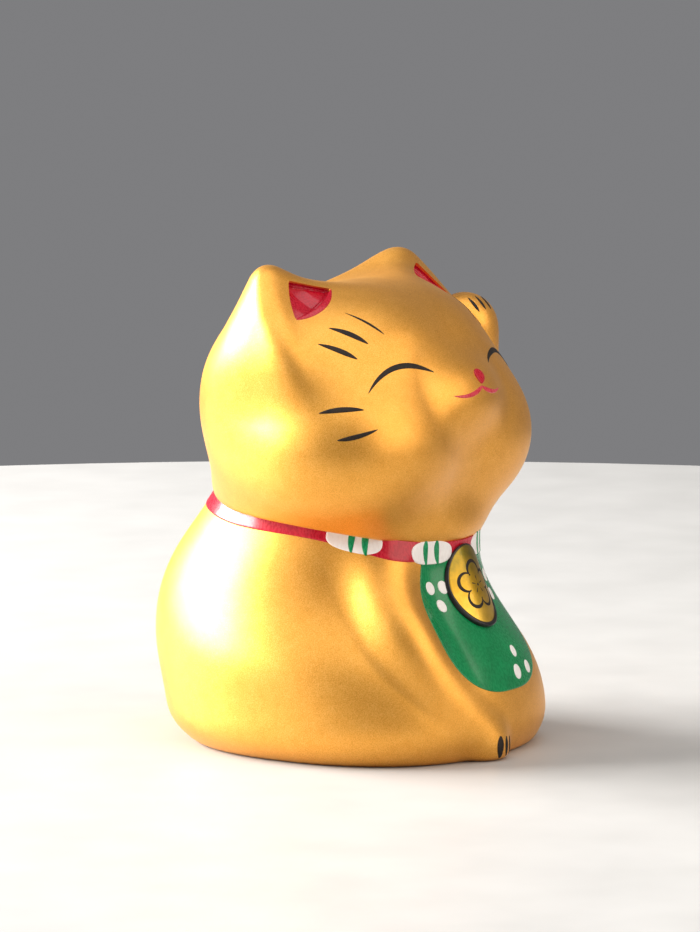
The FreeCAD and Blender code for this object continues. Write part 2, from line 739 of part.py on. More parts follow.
def make_coin(under):
    """A gold oval with a black rim, cut to the chest, and a five-petalled blossom in relief on it."""
    blank = coin_body("coin_blank")
    outline = add_sketch(blank, "coin_outline", "0")
    add_oval(outline, "Sizes.coin_rim_width")
    pad(blank, outline, "Sizes.coin_sink")
    rim = coin_body("coin_rim_blank")
    ring_sketch = add_sketch(rim, "rim_outline", "0")
    add_oval(ring_sketch, "0")
    add_oval(ring_sketch, "Sizes.coin_rim_width")
    pad(rim, ring_sketch, "Sizes.coin_sink - Sizes.coin_rim_step")
    emblem = coin_body("coin_emblem")
    petal = add_sketch(emblem, "petal", "Sizes.coin_sink")
    circle = petal.addGeometry(Part.Circle(V(0, size("petal_circle"), 0), UP, size("petal_radius")), False)
    petal.addConstraint(Sketcher.Constraint("PointOnObject", circle, 3, -2))
    rules = (("Radius", (circle,), "petal_radius"), ("DistanceY", (-1, 1, circle, 3), "petal_circle"))
    for rule, items, name in rules:
        number = petal.addConstraint(Sketcher.Constraint(rule, *items, size(name)))
        petal.setExpression("Constraints[%d]" % number, "Sizes." + name)
    petal_pad = pad(emblem, petal, "Sizes.emblem_relief")
    DOC.recompute()
    blossom = emblem.newObject("PartDesign::PolarPattern", "blossom")
    blossom.Originals = [petal_pad]
    blossom.Axis = (plane_of(emblem, "Z_Axis"), [""])
    blossom.Angle = 360
    blossom.Occurrences = 5
    emblem.Tip = blossom
    pieces = []
    for label, body in (("coin", blank), ("coin_rim", rim)):
        piece = body
        for number, ground in enumerate(under, start=1):
            last = number == len(under)
            piece = cut(label if last else label + "_over_%d" % number, piece, ground)
        pieces.append(piece)
    return pieces + [emblem]


# ---------------------------------------------------------------- assembly and export
def check(made):
    """Stop if any object failed to build, or a sub-part is not a sound solid."""
    failed = [item.Label for item in DOC.Objects if "Invalid" in item.State or "Error" in item.State]
    if failed:
        raise RuntimeError("not built: " + ", ".join(failed))
    for item in made:
        shape = item.Shape
        if shape.isNull() or not shape.isValid() or not shape.Solids:
            raise RuntimeError(item.Label + " is not a sound solid")


def main():
    """Build every sub-part, check it and write it to its own file."""
    castings = [make_trunk_shell(), make_head_shell(), make_raised_arm()]
    collar = make_collar()
    bib = make_bib(collar)
    made = castings + collar + bib + make_ear_linings() + make_face_marks() + make_claws()
    made += make_coin([TRUNK_SKINS[0]] + collar + bib[:1])
    DOC.recompute()
    check(made)
    os.makedirs("parts", exist_ok=True)
    for item in made:
        item.Shape.exportStep(os.path.join("parts", item.Label + ".step"))
        box = item.Shape.BoundBox
        print("%-28s %2d solid  %9.3f mm3  x %6.1f %6.1f  y %6.1f %6.1f  z %6.1f %6.1f" % (
            item.Label, len(item.Shape.Solids), item.Shape.Volume, box.XMin, box.XMax,
            box.YMin, box.YMax, box.ZMin, box.ZMax))


main()
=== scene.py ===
# %% [markdown]
# # A beckoning cat: slip-cast ceramic, gold lacquer and enamel
#
# The real figurine is a small hollow ceramic casting, sprayed with a satin gold lacquer and painted
# by hand: a red collar with white pads, a green bib, a coin with a black rim, closed eyes, whiskers,
# a small red nose and mouth, and red ears.
#
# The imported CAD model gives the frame. Every visible piece of the cat is a smooth skin or a thin
# film of enamel that stands for one CAD node. A few forms are drawn a little differently from the
# CAD, such as the foreleg's upper half, the ears, the jaw and the coin's dome.

# %% Open the frame
import bmesh
import bpy
import math
import numpy as np
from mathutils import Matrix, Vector


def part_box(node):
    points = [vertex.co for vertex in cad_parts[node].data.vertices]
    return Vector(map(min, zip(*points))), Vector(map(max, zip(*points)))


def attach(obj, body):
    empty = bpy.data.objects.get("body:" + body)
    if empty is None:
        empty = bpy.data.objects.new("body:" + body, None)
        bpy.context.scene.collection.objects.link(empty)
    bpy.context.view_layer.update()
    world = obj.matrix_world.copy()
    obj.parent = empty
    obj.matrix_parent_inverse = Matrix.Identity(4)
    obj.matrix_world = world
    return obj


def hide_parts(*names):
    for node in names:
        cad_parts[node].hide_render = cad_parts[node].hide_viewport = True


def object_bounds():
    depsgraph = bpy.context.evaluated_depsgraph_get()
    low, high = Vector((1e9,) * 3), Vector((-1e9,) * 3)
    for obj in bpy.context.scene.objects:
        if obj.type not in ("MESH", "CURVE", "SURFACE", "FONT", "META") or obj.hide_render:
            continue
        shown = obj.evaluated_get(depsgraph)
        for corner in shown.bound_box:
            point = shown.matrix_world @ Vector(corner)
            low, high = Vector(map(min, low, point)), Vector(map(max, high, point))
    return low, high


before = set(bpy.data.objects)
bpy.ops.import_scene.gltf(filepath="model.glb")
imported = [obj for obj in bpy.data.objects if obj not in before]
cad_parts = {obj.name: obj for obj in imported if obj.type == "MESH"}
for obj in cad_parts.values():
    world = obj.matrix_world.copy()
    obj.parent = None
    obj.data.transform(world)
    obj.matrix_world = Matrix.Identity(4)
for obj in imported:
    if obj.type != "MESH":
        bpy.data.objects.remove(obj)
CAD_LOW, CAD_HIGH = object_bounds()
print("nodes", len(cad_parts), "box", [round(v, 4) for v in (*CAD_LOW, *CAD_HIGH)])

# %% [markdown]
# ## One unit of length
#
# The drawing is in millimetres for a cat that is nominally 80 mm tall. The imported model's rounded
# ear tips end a little lower, so one factor, taken from its height, turns the drawing into metres.

# %% The maker's millimetre
DESIGN_HEIGHT = 80.0
UNIT = CAD_HIGH.z / DESIGN_HEIGHT
print("one millimetre of the drawing is", round(UNIT * 1000, 4), "mm")

# %% [markdown]
# ## Camera
#
# A long lens from about 0.8 m, a little above the cat and 58 degrees round to its right, keeps the
# proportions calm, as a product photographer would.

# %% Camera
CAMERA_BEARING = math.radians(-58.0)
CAMERA_DISTANCE = 820.0
CAMERA_HEIGHT = 152.0
CAMERA_DOWN = math.radians(7.415)
CAMERA_PAN = 0.0004  # radians to its left, so that the cat sits just right of the middle
LENS = 193.1


def placed(name, data):
    """A new object in the scene that shows this data."""
    made = bpy.data.objects.new(name, data)
    bpy.context.scene.collection.objects.link(made)
    return made


def place_camera():
    """The camera stands on a circle round the cat, and its axis points level at it, then down."""
    back = Vector((math.sin(CAMERA_BEARING), -math.cos(CAMERA_BEARING), 0))
    right = Vector((math.cos(CAMERA_BEARING), math.sin(CAMERA_BEARING), 0))
    ahead = -back * math.cos(CAMERA_DOWN) - Vector((0, 0, math.sin(CAMERA_DOWN))) - right * CAMERA_PAN
    camera = placed("camera", bpy.data.cameras.new("camera"))
    camera.location = (back * CAMERA_DISTANCE + Vector((0, 0, CAMERA_HEIGHT))) * UNIT
    camera.rotation_euler = ahead.to_track_quat("-Z", "Y").to_euler()
    camera.data.lens = LENS
    camera.data.sensor_width = 36.0
    camera.data.clip_start = 0.01
    bpy.context.scene.camera = camera
    return camera


print("camera at", [round(v, 3) for v in place_camera().location])

# %% [markdown]
# ## Colours and nodes
#
# Paint makers give colours as sRGB hex. The shader wants linear light, so one function converts
# them, and one function adds a node with its settings and links.

# %% Colour and node helpers
def linear(code):
    """Each sRGB channel c becomes c / 12.92 when it is dark, and ((c + 0.055) / 1.055) ** 2.4 above."""
    channels = [int(code[i:i + 2], 16) / 255 for i in (1, 3, 5)]
    return tuple(c / 12.92 if c <= 0.04045 else ((c + 0.055) / 1.055) ** 2.4 for c in channels) + (1.0,)


def feed(tree, made, **inputs):
    """Give a node its inputs, values or sockets to link, by socket name. An underscore stands for a space,
    and a number after two underscores picks a socket by order."""
    for name, value in inputs.items():
        socket = made.inputs[int(name[2:])] if name.startswith("__") else made.inputs[name.replace("_", " ")]
        if isinstance(value, bpy.types.NodeSocket):
            tree.links.new(value, socket)
        else:
            socket.default_value = value
    return made


def node(tree, kind, settings=None, **inputs):
    """Add a node: settings are its properties, and its inputs are fed."""
    made = tree.nodes.new(kind)
    for name, value in (settings or {}).items():
        setattr(made, name, value)
    return feed(tree, made, **inputs)


def ramp(tree, factor, *stops):
    """A colour ramp through (place, colour) stops."""
    made = node(tree, "ShaderNodeValToRGB", Fac=factor)
    made.color_ramp.elements[0].position, made.color_ramp.elements[0].color = stops[0]
    made.color_ramp.elements[1].position, made.color_ramp.elements[1].color = stops[-1]
    for place, colour in stops[1:-1]:
        made.color_ramp.elements.new(place).color = colour
    return made.outputs["Color"]


def grain(tree, place, millimetres, detail=2.0, roughness=0.5):
    """Noise whose blotches are this many millimetres wide: object coordinates are metres."""
    return node(tree, "ShaderNodeTexNoise", Vector=place, Scale=1.0 / (millimetres * UNIT), Detail=detail,
                Roughness=roughness).outputs["Fac"]


def start_material(name):
    """A material with its principled shader and the object coordinates ready."""
    made = bpy.data.materials.new(name)
    made.use_nodes = True
    tree = made.node_tree
    place = node(tree, "ShaderNodeTexCoord").outputs["Object"]
    return made, tree, tree.nodes["Principled BSDF"], place


print("mid grey is", round(linear("#808080")[0], 3), "in linear light")

# %% [markdown]
# ## Gold lacquer
#
# The casting is sprayed with lacquer that carries fine brass flakes, then a thin clear coat. Up
# close it is a grain of bright and dark flakes over a faint unevenness of the spray. The flakes lie
# nearly flat, so the gloss is wide and soft. The foot is taken to be wiped clean after the spraying,
# so that it shows the pale body.

# %% Gold lacquer
FLAKE = 0.16  # millimetres; real flakes are finer, and this is as fine as shows
SPRAY_MOTTLE = 2.2  # millimetres between passes of spray
ORANGE_PEEL = 0.9  # millimetres between the ripples of the lacquer
METAL_SHARE = 0.82  # the rest of the light comes back from the clouded lacquer between the flakes
FOOT_WIPED = 0.12  # millimetres up from the table that the wiping reaches
MOTTLE_SHARE = 0.2  # of the unevenness of colour; the flakes give the rest
FLAKE_SHARE = 0.35  # of the relief; the orange peel gives the rest
LACQUER_RELIEF = 0.02  # millimetres


def gold_lacquer(name, bright, mid, deep, rough):
    """Metal whose tint and roughness follow the flakes, with a clear coat over it."""
    made, tree, shader, place = start_material(name)
    flake = grain(tree, place, FLAKE, 1.0)
    mottle = grain(tree, place, SPRAY_MOTTLE, 3.0)
    both = node(tree, "ShaderNodeMix", {"data_type": "FLOAT"}, Factor=MOTTLE_SHARE, __2=flake, __3=mottle)
    tint = ramp(tree, both.outputs[0], (0.2, linear(deep)), (0.5, linear(mid)), (0.8, linear(bright)))
    level = node(tree, "ShaderNodeSeparateXYZ", Vector=place).outputs["Z"]
    foot = node(tree, "ShaderNodeMapRange", Value=level, From_Min=0.0, From_Max=FOOT_WIPED * UNIT,
                To_Min=1.0, To_Max=0.0).outputs["Result"]
    body = node(tree, "ShaderNodeMix", {"data_type": "RGBA"}, Factor=foot, __6=tint, __7=linear("#E9E2D4"))
    metal = node(tree, "ShaderNodeMapRange", Value=foot, To_Min=METAL_SHARE, To_Max=0.0).outputs["Result"]
    gloss = node(tree, "ShaderNodeMapRange", Value=flake, From_Min=0.25, From_Max=0.75,
                 To_Min=rough - 0.04, To_Max=rough + 0.05).outputs["Result"]
    peel = grain(tree, place, ORANGE_PEEL, 1.0)
    relief = node(tree, "ShaderNodeMix", {"data_type": "FLOAT"}, Factor=FLAKE_SHARE, __2=peel, __3=flake)
    bump = node(tree, "ShaderNodeBump", Strength=0.09, Distance=LACQUER_RELIEF * UNIT,
                Height=relief.outputs[0])
    feed(tree, shader, Base_Color=body.outputs[2], Metallic=metal, Roughness=gloss,
         Normal=bump.outputs["Normal"], Coat_Weight=0.2, Coat_Roughness=0.35)
    return made


BODY_GOLD = gold_lacquer("sprayed_gold_lacquer", "#FFC468", "#F0AA44", "#D6912F", 0.42)
print("made", BODY_GOLD.name)

# %% [markdown]
# ## Enamels
#
# The colours are brushed on by hand in an acrylic enamel. It levels to a smooth, shiny film, with
# the brush's streaks just visible in its depth of colour, and it is thin enough in the fine black
# strokes for the gold to show through as brown specks.

# %% Enamels
BRUSH_STREAK = 0.35  # millimetres between the hairs of the brush
STREAK_SQUEEZE = 0.45  # height is read at this share, which draws the streaks out upright
PAINT_POOL = 3.0  # millimetres across a pool of thicker paint
PAINT_RELIEF = 0.03  # millimetres


def enamel(name, thick, thin, rough=0.26, streak=BRUSH_STREAK, cover=(0.35, 0.7), coat=0.3):
    """A glossy paint whose colour runs from thick to thin with the streaks that the brush left."""
    made, tree, shader, place = start_material(name)
    drawn = node(tree, "ShaderNodeMapping", Vector=place, Scale=(1.0, 1.0, STREAK_SQUEEZE)).outputs["Vector"]
    streaks = grain(tree, drawn, streak)
    pools = grain(tree, place, PAINT_POOL)
    cloud = node(tree, "ShaderNodeMix", {"data_type": "FLOAT"}, Factor=0.45, __2=streaks, __3=pools)
    tint = ramp(tree, cloud.outputs[0], (cover[0], linear(thick)), (cover[1], linear(thin)))
    bump = node(tree, "ShaderNodeBump", Strength=0.07, Distance=PAINT_RELIEF * UNIT, Height=cloud.outputs[0])
    gloss = node(tree, "ShaderNodeMapRange", Value=streaks, From_Min=0.3, From_Max=0.7,
                 To_Min=rough - 0.03, To_Max=rough + 0.06).outputs["Result"]
    feed(tree, shader, Base_Color=tint, Roughness=gloss, Normal=bump.outputs["Normal"],
         Specular_IOR_Level=0.33, Coat_Weight=coat, Coat_Roughness=0.12)
    return made


RED = enamel("brushed_crimson_enamel", "#B00020", "#CC0A2C")
LIP = enamel("brushed_coral_enamel", "#C41F34", "#DC4A58", cover=(0.3, 0.65))
GREEN = enamel("brushed_green_enamel", "#007540", "#008A4E")
STRIPE_GREEN = enamel("streaked_green_enamel", "#007E49", "#12A066")
WHITE = enamel("brushed_white_enamel", "#EDE6E2", "#F6F3F0", rough=0.3)
BLACK = enamel("dry_brushed_black_enamel", "#0C0805", "#332212", rough=0.55, streak=0.22, cover=(0.42, 0.72),
               coat=0.0)
RIM_BLACK = enamel("brushed_black_enamel", "#0E0B0C", "#221C1E", rough=0.3)
print("made", [m.name for m in (RED, LIP, GREEN, STRIPE_GREEN, WHITE, BLACK, RIM_BLACK)])

# %% [markdown]
# ## Antique gold of the coin
#
# The coin is painted with a greener, darker gold. Its colour runs from a dark olive at its top
# to a bright yellow at its foot, broken up in patches by the brush.

# %% Antique gold
COIN_LOW, COIN_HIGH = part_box("coin")
DIRT = 1.6  # millimetres across a dirty patch
DIRT_SHARE = 0.45  # of the change of colour; the height on the coin gives the rest


def antique_gold():
    """Metal that runs from olive at the top to yellow at the bottom, broken up by the brush."""
    made, tree, shader, place = start_material("brushed_antique_gold")
    level = node(tree, "ShaderNodeSeparateXYZ", Vector=place).outputs["Z"]
    rise = node(tree, "ShaderNodeMapRange", Value=level, From_Min=COIN_LOW.z, From_Max=COIN_HIGH.z)
    dirt = grain(tree, place, DIRT, 4.0, 0.6)
    mixed = node(tree, "ShaderNodeMix", {"data_type": "FLOAT"}, Factor=DIRT_SHARE,
                 __2=rise.outputs["Result"], __3=dirt)
    tint = ramp(tree, mixed.outputs[0], (0.22, linear("#F0C048")), (0.5, linear("#C79A20")),
                (0.78, linear("#857422")))
    flake = grain(tree, place, FLAKE, 1.0)
    bump = node(tree, "ShaderNodeBump", Strength=0.3, Distance=PAINT_RELIEF * UNIT, Height=flake)
    feed(tree, shader, Base_Color=tint, Normal=bump.outputs["Normal"], Metallic=0.85, Roughness=0.34,
         Coat_Weight=0.3)
    return made


COIN_GOLD = antique_gold()
print("made", COIN_GOLD.name)

# %% [markdown]
# ## Soft forms as distances
#
# A potter's form has no seams. Each form here is a function that says how far a point is outside
# it, in millimetres, and two forms flow together where the smaller of their distances is taken with
# a rounded corner. The skin is where the distance is nought.

# %% Distances
MIRROR = np.array((-1.0, 1.0, 1.0))
BOTH_SIDES = (np.ones(3), MIRROR)


def soft_min(a, b, blend):
    """The smaller of a and b; where they are closer than blend, a parabola rounds the corner between them."""
    share = np.clip(0.5 + 0.5 * (b - a) / blend, 0, 1)
    return b * (1 - share) + a * share - blend * share * (1 - share)


def soft_max(a, b, blend):
    """The larger of a and b, with its corner rounded in the same way."""
    return -soft_min(-a, -b, blend)


def xyz(point):
    """The three coordinates of an array of points."""
    return point[..., 0], point[..., 1], point[..., 2]


def beyond(reach, ratio, caution):
    """How far a point is past the surface on its own ray, reach - reach / ratio. A caution below 1 keeps
    each step towards the surface short of it."""
    return (reach - reach / np.maximum(ratio, 1e-6)) * caution


def ellipsoid(point, centre, radii):
    """Near the surface the distance is k (k - 1) / g: k is the length of point / radii, and g is the
    length of that over radii again."""
    scaled = (point - centre) / radii
    size = np.linalg.norm(scaled, axis=-1)
    return size * (size - 1) / np.maximum(np.linalg.norm(scaled / radii, axis=-1), 1e-9)


def natural_spline(knots, values):
    """Cubic pieces through the values, which agree in slope and bend at each knot and end straight."""
    knots = np.array(knots, float)
    values = np.array(values, float).reshape(len(knots), -1)
    gap = np.diff(knots)
    rule = np.eye(len(knots))
    bend = np.zeros_like(values)
    for i in range(1, len(knots) - 1):
        rule[i, i - 1:i + 2] = gap[i - 1], 2 * (gap[i - 1] + gap[i]), gap[i]
        bend[i] = 6 * ((values[i + 1] - values[i]) / gap[i] - (values[i] - values[i - 1]) / gap[i - 1])
    bend = np.linalg.solve(rule, bend)

    def at(place):
        place = np.clip(place, knots[0], knots[-1])
        i = np.clip(np.searchsorted(knots, place) - 1, 0, len(gap) - 1)
        h = gap[i][..., None]
        after = (place - knots[i])[..., None] / h
        before = 1 - after
        cubic = ((before ** 3 - before) * bend[i] + (after ** 3 - after) * bend[i + 1]) * h ** 2 / 6
        return before * values[i] + after * values[i + 1] + cubic

    return at


def strung(balls, count):
    """count balls, at even steps, on a spline through the named ones."""
    return natural_spline(range(len(balls)), balls)(np.linspace(0, len(balls) - 1, count))


def landed(form, points, facing, start=14.0, steps=60, share=0.85, longest=2.0):
    """Slide each point against its facing, from start millimetres out, until its distance is nought: at
    each step by a share of the distance, which is held between -1 and longest."""
    travel = np.full(np.broadcast_shapes(points.shape, facing.shape)[:-1], float(start))
    for _ in range(steps):
        travel = travel - np.clip(form(points + facing * travel[..., None]), -1.0, longest) * share
    return points + facing * travel[..., None]


def unit(vector):
    """The vector at length one."""
    vector = np.array(vector, float)
    return vector / np.linalg.norm(vector, axis=-1, keepdims=True)


def outward(bearing, pitch=0.0):
    """Direction at a bearing from the front, towards the cat's left, and a pitch above level, in degrees."""
    b, p = math.radians(bearing), math.radians(pitch)
    return np.array((math.sin(b) * math.cos(p), -math.cos(b) * math.cos(p), math.sin(p)))


print("where two forms meet, a blend of 4 mm fills the corner by", -float(soft_min(0.0, 0.0, 4.0)), "mm")

# %% [markdown]
# ## Head
#
# The skull is a squared-off ellipsoid that leans back, with full cheeks, a small muzzle, a jaw that
# closes on the neck, and two ears. An ear is a pyramid of planes whose edges are rounded, and a
# softened floor to the pyramid makes it flare into the skull.

# %% Head form
HEAD_CENTRE = np.array((0.0, -0.4, 55.0))
HEAD_LEAN = math.radians(14.75)
SKULL_RADII = np.array((28.6, 21.3, 21.0))
SKULL_SQUARENESS = 2.4
CHEEK = (np.array((13.4, -5.8, -7.1)), np.array((17.0, 15.9, 14.1)))
MUZZLE = (np.array((0.0, -20.1, -2.0)), np.array((8.5, 4.6, 5.2)))
NECK_LEVEL = 38.1
NECK_SLOPE = 0.172  # the neck seat rises by this for each millimetre towards the back
NECK_TILT = math.atan(NECK_SLOPE)
NECK_LIFT = 1.7  # of the neck line, greatest at this bearing on both sides:
LIFT_BEARING, LIFT_SPREAD = 72, 32
LIFT_FADE = 200.0  # square of the radius inside which the lift dies away to nought
JAW = (np.array((0.0, 0.9, 1.6)), np.array((21.3, 22.5, 9.5)))
EAR_TIP = np.array((22.6, 3.0, 82.5))
EAR_BACK = np.array((22.8, 4.4, 81.6))
EAR_FRONT = np.array((20.5, -0.25, 77.6))
EAR_OUTER_FACE = unit((0.93, 0.10, 0.36))
EAR_BACK_FACE = unit((0.30, 0.86, 0.41))
EAR_INNER_FACE = unit((-0.50, 0.05, 0.86))
EAR_FRONT_FACE = unit((0.155, -0.78, 0.607))
OUTER_SHIFT = 0.6  # the outer face stands out by this
EAR_RIDGE, EAR_EDGE = 6.0, 3.2  # roundings between the outer and back faces, and of the other corners
EAR_FLOOR, EAR_FLARE = 59.0, 14.0
CHEEK_BLEND, MUZZLE_BLEND, JAW_BLEND, EAR_BLEND = 6.0, 5.0, 6.0, 4.5
HEAD_SINK, HEAD_ROUNDING = 0.4, 0.6  # how far the head goes below its seat, and its lower edge
# Low swellings (+) and hollows (-) of the face, on the cat's right and mirrored:
# place, spread and height.
FACE_RELIEF = (((-8.5, -19.0, 69.0), 5.5, 0.55), ((-20.5, -15.5, 62.5), 5.5, -0.15),
               ((-15.0, -21.5, 57.0), 5.0, -0.15), ((-7.0, -22.5, 60.5), 3.2, -0.1))


def face_frame(point):
    """Coordinates that lean with the face: the offset from the head's centre, turned forward by the lean."""
    x, y, z = xyz(point - HEAD_CENTRE)
    c, s = math.cos(HEAD_LEAN), math.sin(HEAD_LEAN)
    return np.stack([x, y * c - z * s, y * s + z * c], -1)


def neck_lift(x, y):
    """The neck line rises a little on both flanks, as a bell over the bearing from the front."""
    bearing = np.degrees(np.abs(np.arctan2(x, -y)))
    bell = np.exp(-((bearing - LIFT_BEARING) / LIFT_SPREAD) ** 2)
    return NECK_LIFT * bell * np.minimum((x ** 2 + y ** 2) / LIFT_FADE, 1.0)


def neck_height(point):
    """Height above the surface that the head sits on: a tilted plane, lifted on both flanks."""
    x, y, z = xyz(point)
    return (z - NECK_LEVEL - NECK_SLOPE * y) / math.hypot(1, NECK_SLOPE) - neck_lift(x, y)


def ear_form(point):
    """The largest distance outside the ear's planes, each corner rounded, on the absolute of x."""
    x, y, z = xyz(point)
    half = np.stack([np.abs(x), y, z], -1)
    outer = (half - EAR_BACK) @ EAR_OUTER_FACE - OUTER_SHIFT
    back = (half - EAR_BACK) @ EAR_BACK_FACE
    inner = (half - EAR_TIP) @ EAR_INNER_FACE
    front = (half - EAR_FRONT) @ EAR_FRONT_FACE
    ear = soft_max(soft_max(outer, back, EAR_RIDGE), soft_max(front, inner, EAR_EDGE), EAR_EDGE)
    return soft_max(ear, EAR_FLOOR - z, EAR_FLARE)


def head_form(point):
    """Skull, cheeks, muzzle, jaw and ears flowed together, cut off at the neck."""
    leant = face_frame(point)
    ratio = (np.abs(leant / SKULL_RADII) ** SKULL_SQUARENESS).sum(-1) ** (1 / SKULL_SQUARENESS)
    head = beyond(np.linalg.norm(leant, axis=-1), ratio, 0.95)
    cheeks = [ellipsoid(leant, CHEEK[0] * side, CHEEK[1]) for side in BOTH_SIDES]
    head = soft_min(head, soft_min(*cheeks, CHEEK_BLEND), CHEEK_BLEND)
    head = soft_min(head, ellipsoid(leant, *MUZZLE), MUZZLE_BLEND)
    x, y, z = xyz(point - np.array((0.0, 0.0, NECK_LEVEL)))
    c, s = math.cos(NECK_TILT), math.sin(NECK_TILT)
    seated = np.stack([x, y * c + z * s, z * c - y * s], -1)
    head = soft_min(head, ellipsoid(seated, *JAW), JAW_BLEND)
    for place, spread, height in FACE_RELIEF:
        for side in BOTH_SIDES:
            away = ((point - np.array(place) * side) ** 2).sum(-1)
            head = head - height * np.exp(-away / (2 * spread ** 2))
    head = soft_min(head, ear_form(point), EAR_BLEND)
    return soft_max(head, -HEAD_SINK - neck_height(point), HEAD_ROUNDING)


print("skin at the crown:", round(float(head_form(np.array((0.0, 4.0, 76.0)))), 2), "mm outside")

# %% [markdown]
# ## Trunk and right foreleg
#
# The trunk is drawn as the potter's turning templates would be: at eight levels it has a half
# width, a depth in front and a depth behind, and a smooth spline joins them. The foreleg is a ridge
# that starts at the shoulder, runs down the front and ends in a paw at the middle of the foot.

# %% Trunk form
# level, half width, front, rear, squareness
TRUNK_LEVELS = (
    (0.0, 26.0, 29.7, 25.0, 2.3), (2.5, 28.2, 31.2, 28.2, 2.25), (8.0, 29.2, 31.5, 30.6, 2.25),
    (16.0, 28.8, 29.1, 33.4, 2.05), (24.0, 26.0, 23.9, 33.8, 1.95), (31.0, 23.3, 21.3, 30.9, 1.95),
    (37.0, 21.4, 21.1, 26.2, 2.05), (43.0, 20.5, 20.1, 21.5, 2.1))
# across, forward (-), level and radius, from the shoulder down to the toes
FORELEG = ((-12.6, -13.4, 33.0, 2.6), (-14.4, -14.9, 28.5, 3.8), (-15.5, -16.9, 24.0, 4.8),
           (-15.4, -20.4, 18.0, 5.4), (-12.2, -24.2, 10.0, 5.1), (-7.4, -27.4, 4.2, 4.6),
           (-5.2, -28.4, 2.0, 4.4))
LEG_BLENDS = (2.0, 12.0, 22.0, 33.0), (1.2, 1.9, 3.4, 6.5)  # levels, and the blend at each
FOOT_ROUNDING = 1.1
MELT = 0.35  # millimetres over which the balls of a limb melt together
MELT_SWELL = 0.3  # what the melting adds, to be taken off again
WALL = 3.0
BASE_WALL = 3.2
CAVITY_ROUNDING = 1.0
NECK_STAND, NECK_ROUNDING = 0.2, 0.5  # the trunk runs on above the seat, hidden in the head
trunk_at = natural_spline([row[0] for row in TRUNK_LEVELS], [row[1:] for row in TRUNK_LEVELS])
LEG_PATH = strung(FORELEG, 37)


def tube(point, path):
    """Balls strung along a path and melted together: -k log(sum(exp(-d / k))), less what the melting adds."""
    gaps = np.stack([np.linalg.norm(point - ball[:3], axis=-1) - ball[3] for ball in path], -1)
    nearest = gaps.min(-1)
    return nearest - MELT * np.log(np.exp((nearest[..., None] - gaps) / MELT).sum(-1)) + MELT_SWELL


def trunk_body(point):
    """At each level a superellipse whose middle lies halfway between front and rear; open at both ends."""
    x, y, z = xyz(point)
    half, front, rear, squareness = np.moveaxis(trunk_at(z), -1, 0)
    y = y - (rear - front) / 2
    depth = (rear + front) / 2
    ratio = (np.abs(x / half) ** squareness + np.abs(y / depth) ** squareness) ** (1 / squareness)
    return beyond(np.sqrt(x ** 2 + y ** 2) + 1e-6, ratio, 0.9)


def uncut_trunk(point):
    """The body flowed into the foreleg, which melts into the shoulder and parts crisply at the foot."""
    return soft_min(trunk_body(point), tube(point, LEG_PATH), np.interp(point[..., 2], *LEG_BLENDS))


def trunk_form(point):
    """The body and foreleg with a rounded foot, cut off at the neck seat."""
    trunk = soft_max(uncut_trunk(point), -point[..., 2], FOOT_ROUNDING)
    return soft_max(trunk, neck_height(point) - NECK_STAND, NECK_ROUNDING)


def trunk_cavity(point):
    """The body brought in by the wall, above the floor and below the neck."""
    inner = soft_max(trunk_body(point) + WALL, BASE_WALL - point[..., 2], CAVITY_ROUNDING)
    return soft_max(inner, neck_height(point) + WALL, CAVITY_ROUNDING)


print("skin at the belly:", round(float(trunk_form(np.array((0.0, -30.0, 14.0)))), 2), "mm outside")

# %% [markdown]
# ## Raised arm
#
# The left arm is a string of balls of slowly changing size, melted together as the foreleg's are.
# It leaves the shoulder and follows the cheek up to a rounded paw.

# %% Arm form
# across, forward (-), level, radius
ARM = np.array(((16.9, -7.0, 30.0, 5.0), (25.0, -6.4, 38.5, 5.3), (28.0, -7.6, 48.0, 5.2),
                (26.9, -6.8, 58.0, 4.9), (25.0, -6.7, 67.0, 5.8)))
ARM_MIDDLE, PAW_MIDDLE = ARM[2, :3], ARM[-1, :3]
ARM_PATH = strung(ARM, 33)


def arm_form(point):
    """The balls along the arm, melted together."""
    return tube(point, ARM_PATH)


print("arm stations", len(ARM))

# %% [markdown]
# ## From a distance to a skin
#
# A net of directions is spread round a point inside the form, and each point of the net is pulled
# in from outside until its distance is nought. The net is a cube's six faces blown out to a sphere,
# which has no poles, and the shared edges are merged so that the skin is closed.

# %% Nets
def quads(rows, columns, wrap_rows=False, wrap_columns=False):
    """Corner numbers of a grid's squares, row by row; a wrapped side joins its last line to its first."""
    row = np.arange(rows if wrap_rows else rows - 1)[:, None]
    column = np.arange(columns if wrap_columns else columns - 1)[None]
    below = (row + 1) % rows
    right = (column + 1) % columns
    corners = np.broadcast_arrays(row * columns + column, below * columns + column,
                                  below * columns + right, row * columns + right)
    return np.stack(corners, -1).reshape(-1, 4)


def sphere_net(cells):
    """Directions of a blown-out cube with cells squares along each edge, and its squares."""
    turn = np.tan(np.linspace(-math.pi / 4, math.pi / 4, cells + 1))
    u, v = np.meshgrid(turn, turn, indexing="ij")
    one = np.ones_like(u)
    sides = [(one, u, v), (-one, -u, v), (-u, one, v), (u, -one, v), (-v, u, one), (v, u, -one)]
    net = unit(np.concatenate([np.stack(side, -1).reshape(-1, 3) for side in sides]))
    squares = np.concatenate([quads(cells + 1, cells + 1) + k * (cells + 1) ** 2 for k in range(6)])
    first, number = np.unique(np.round(net, 6), axis=0, return_index=True, return_inverse=True)[1:]
    return net[first], number.reshape(-1)[squares]


def skin(form, middle, cells, start, steps=70):
    """A form's closed skin: a net round its middle, landed on it from start millimetres out."""
    net, squares = sphere_net(cells)
    return landed(form, middle, net, start, steps, 0.8, 3.0), squares


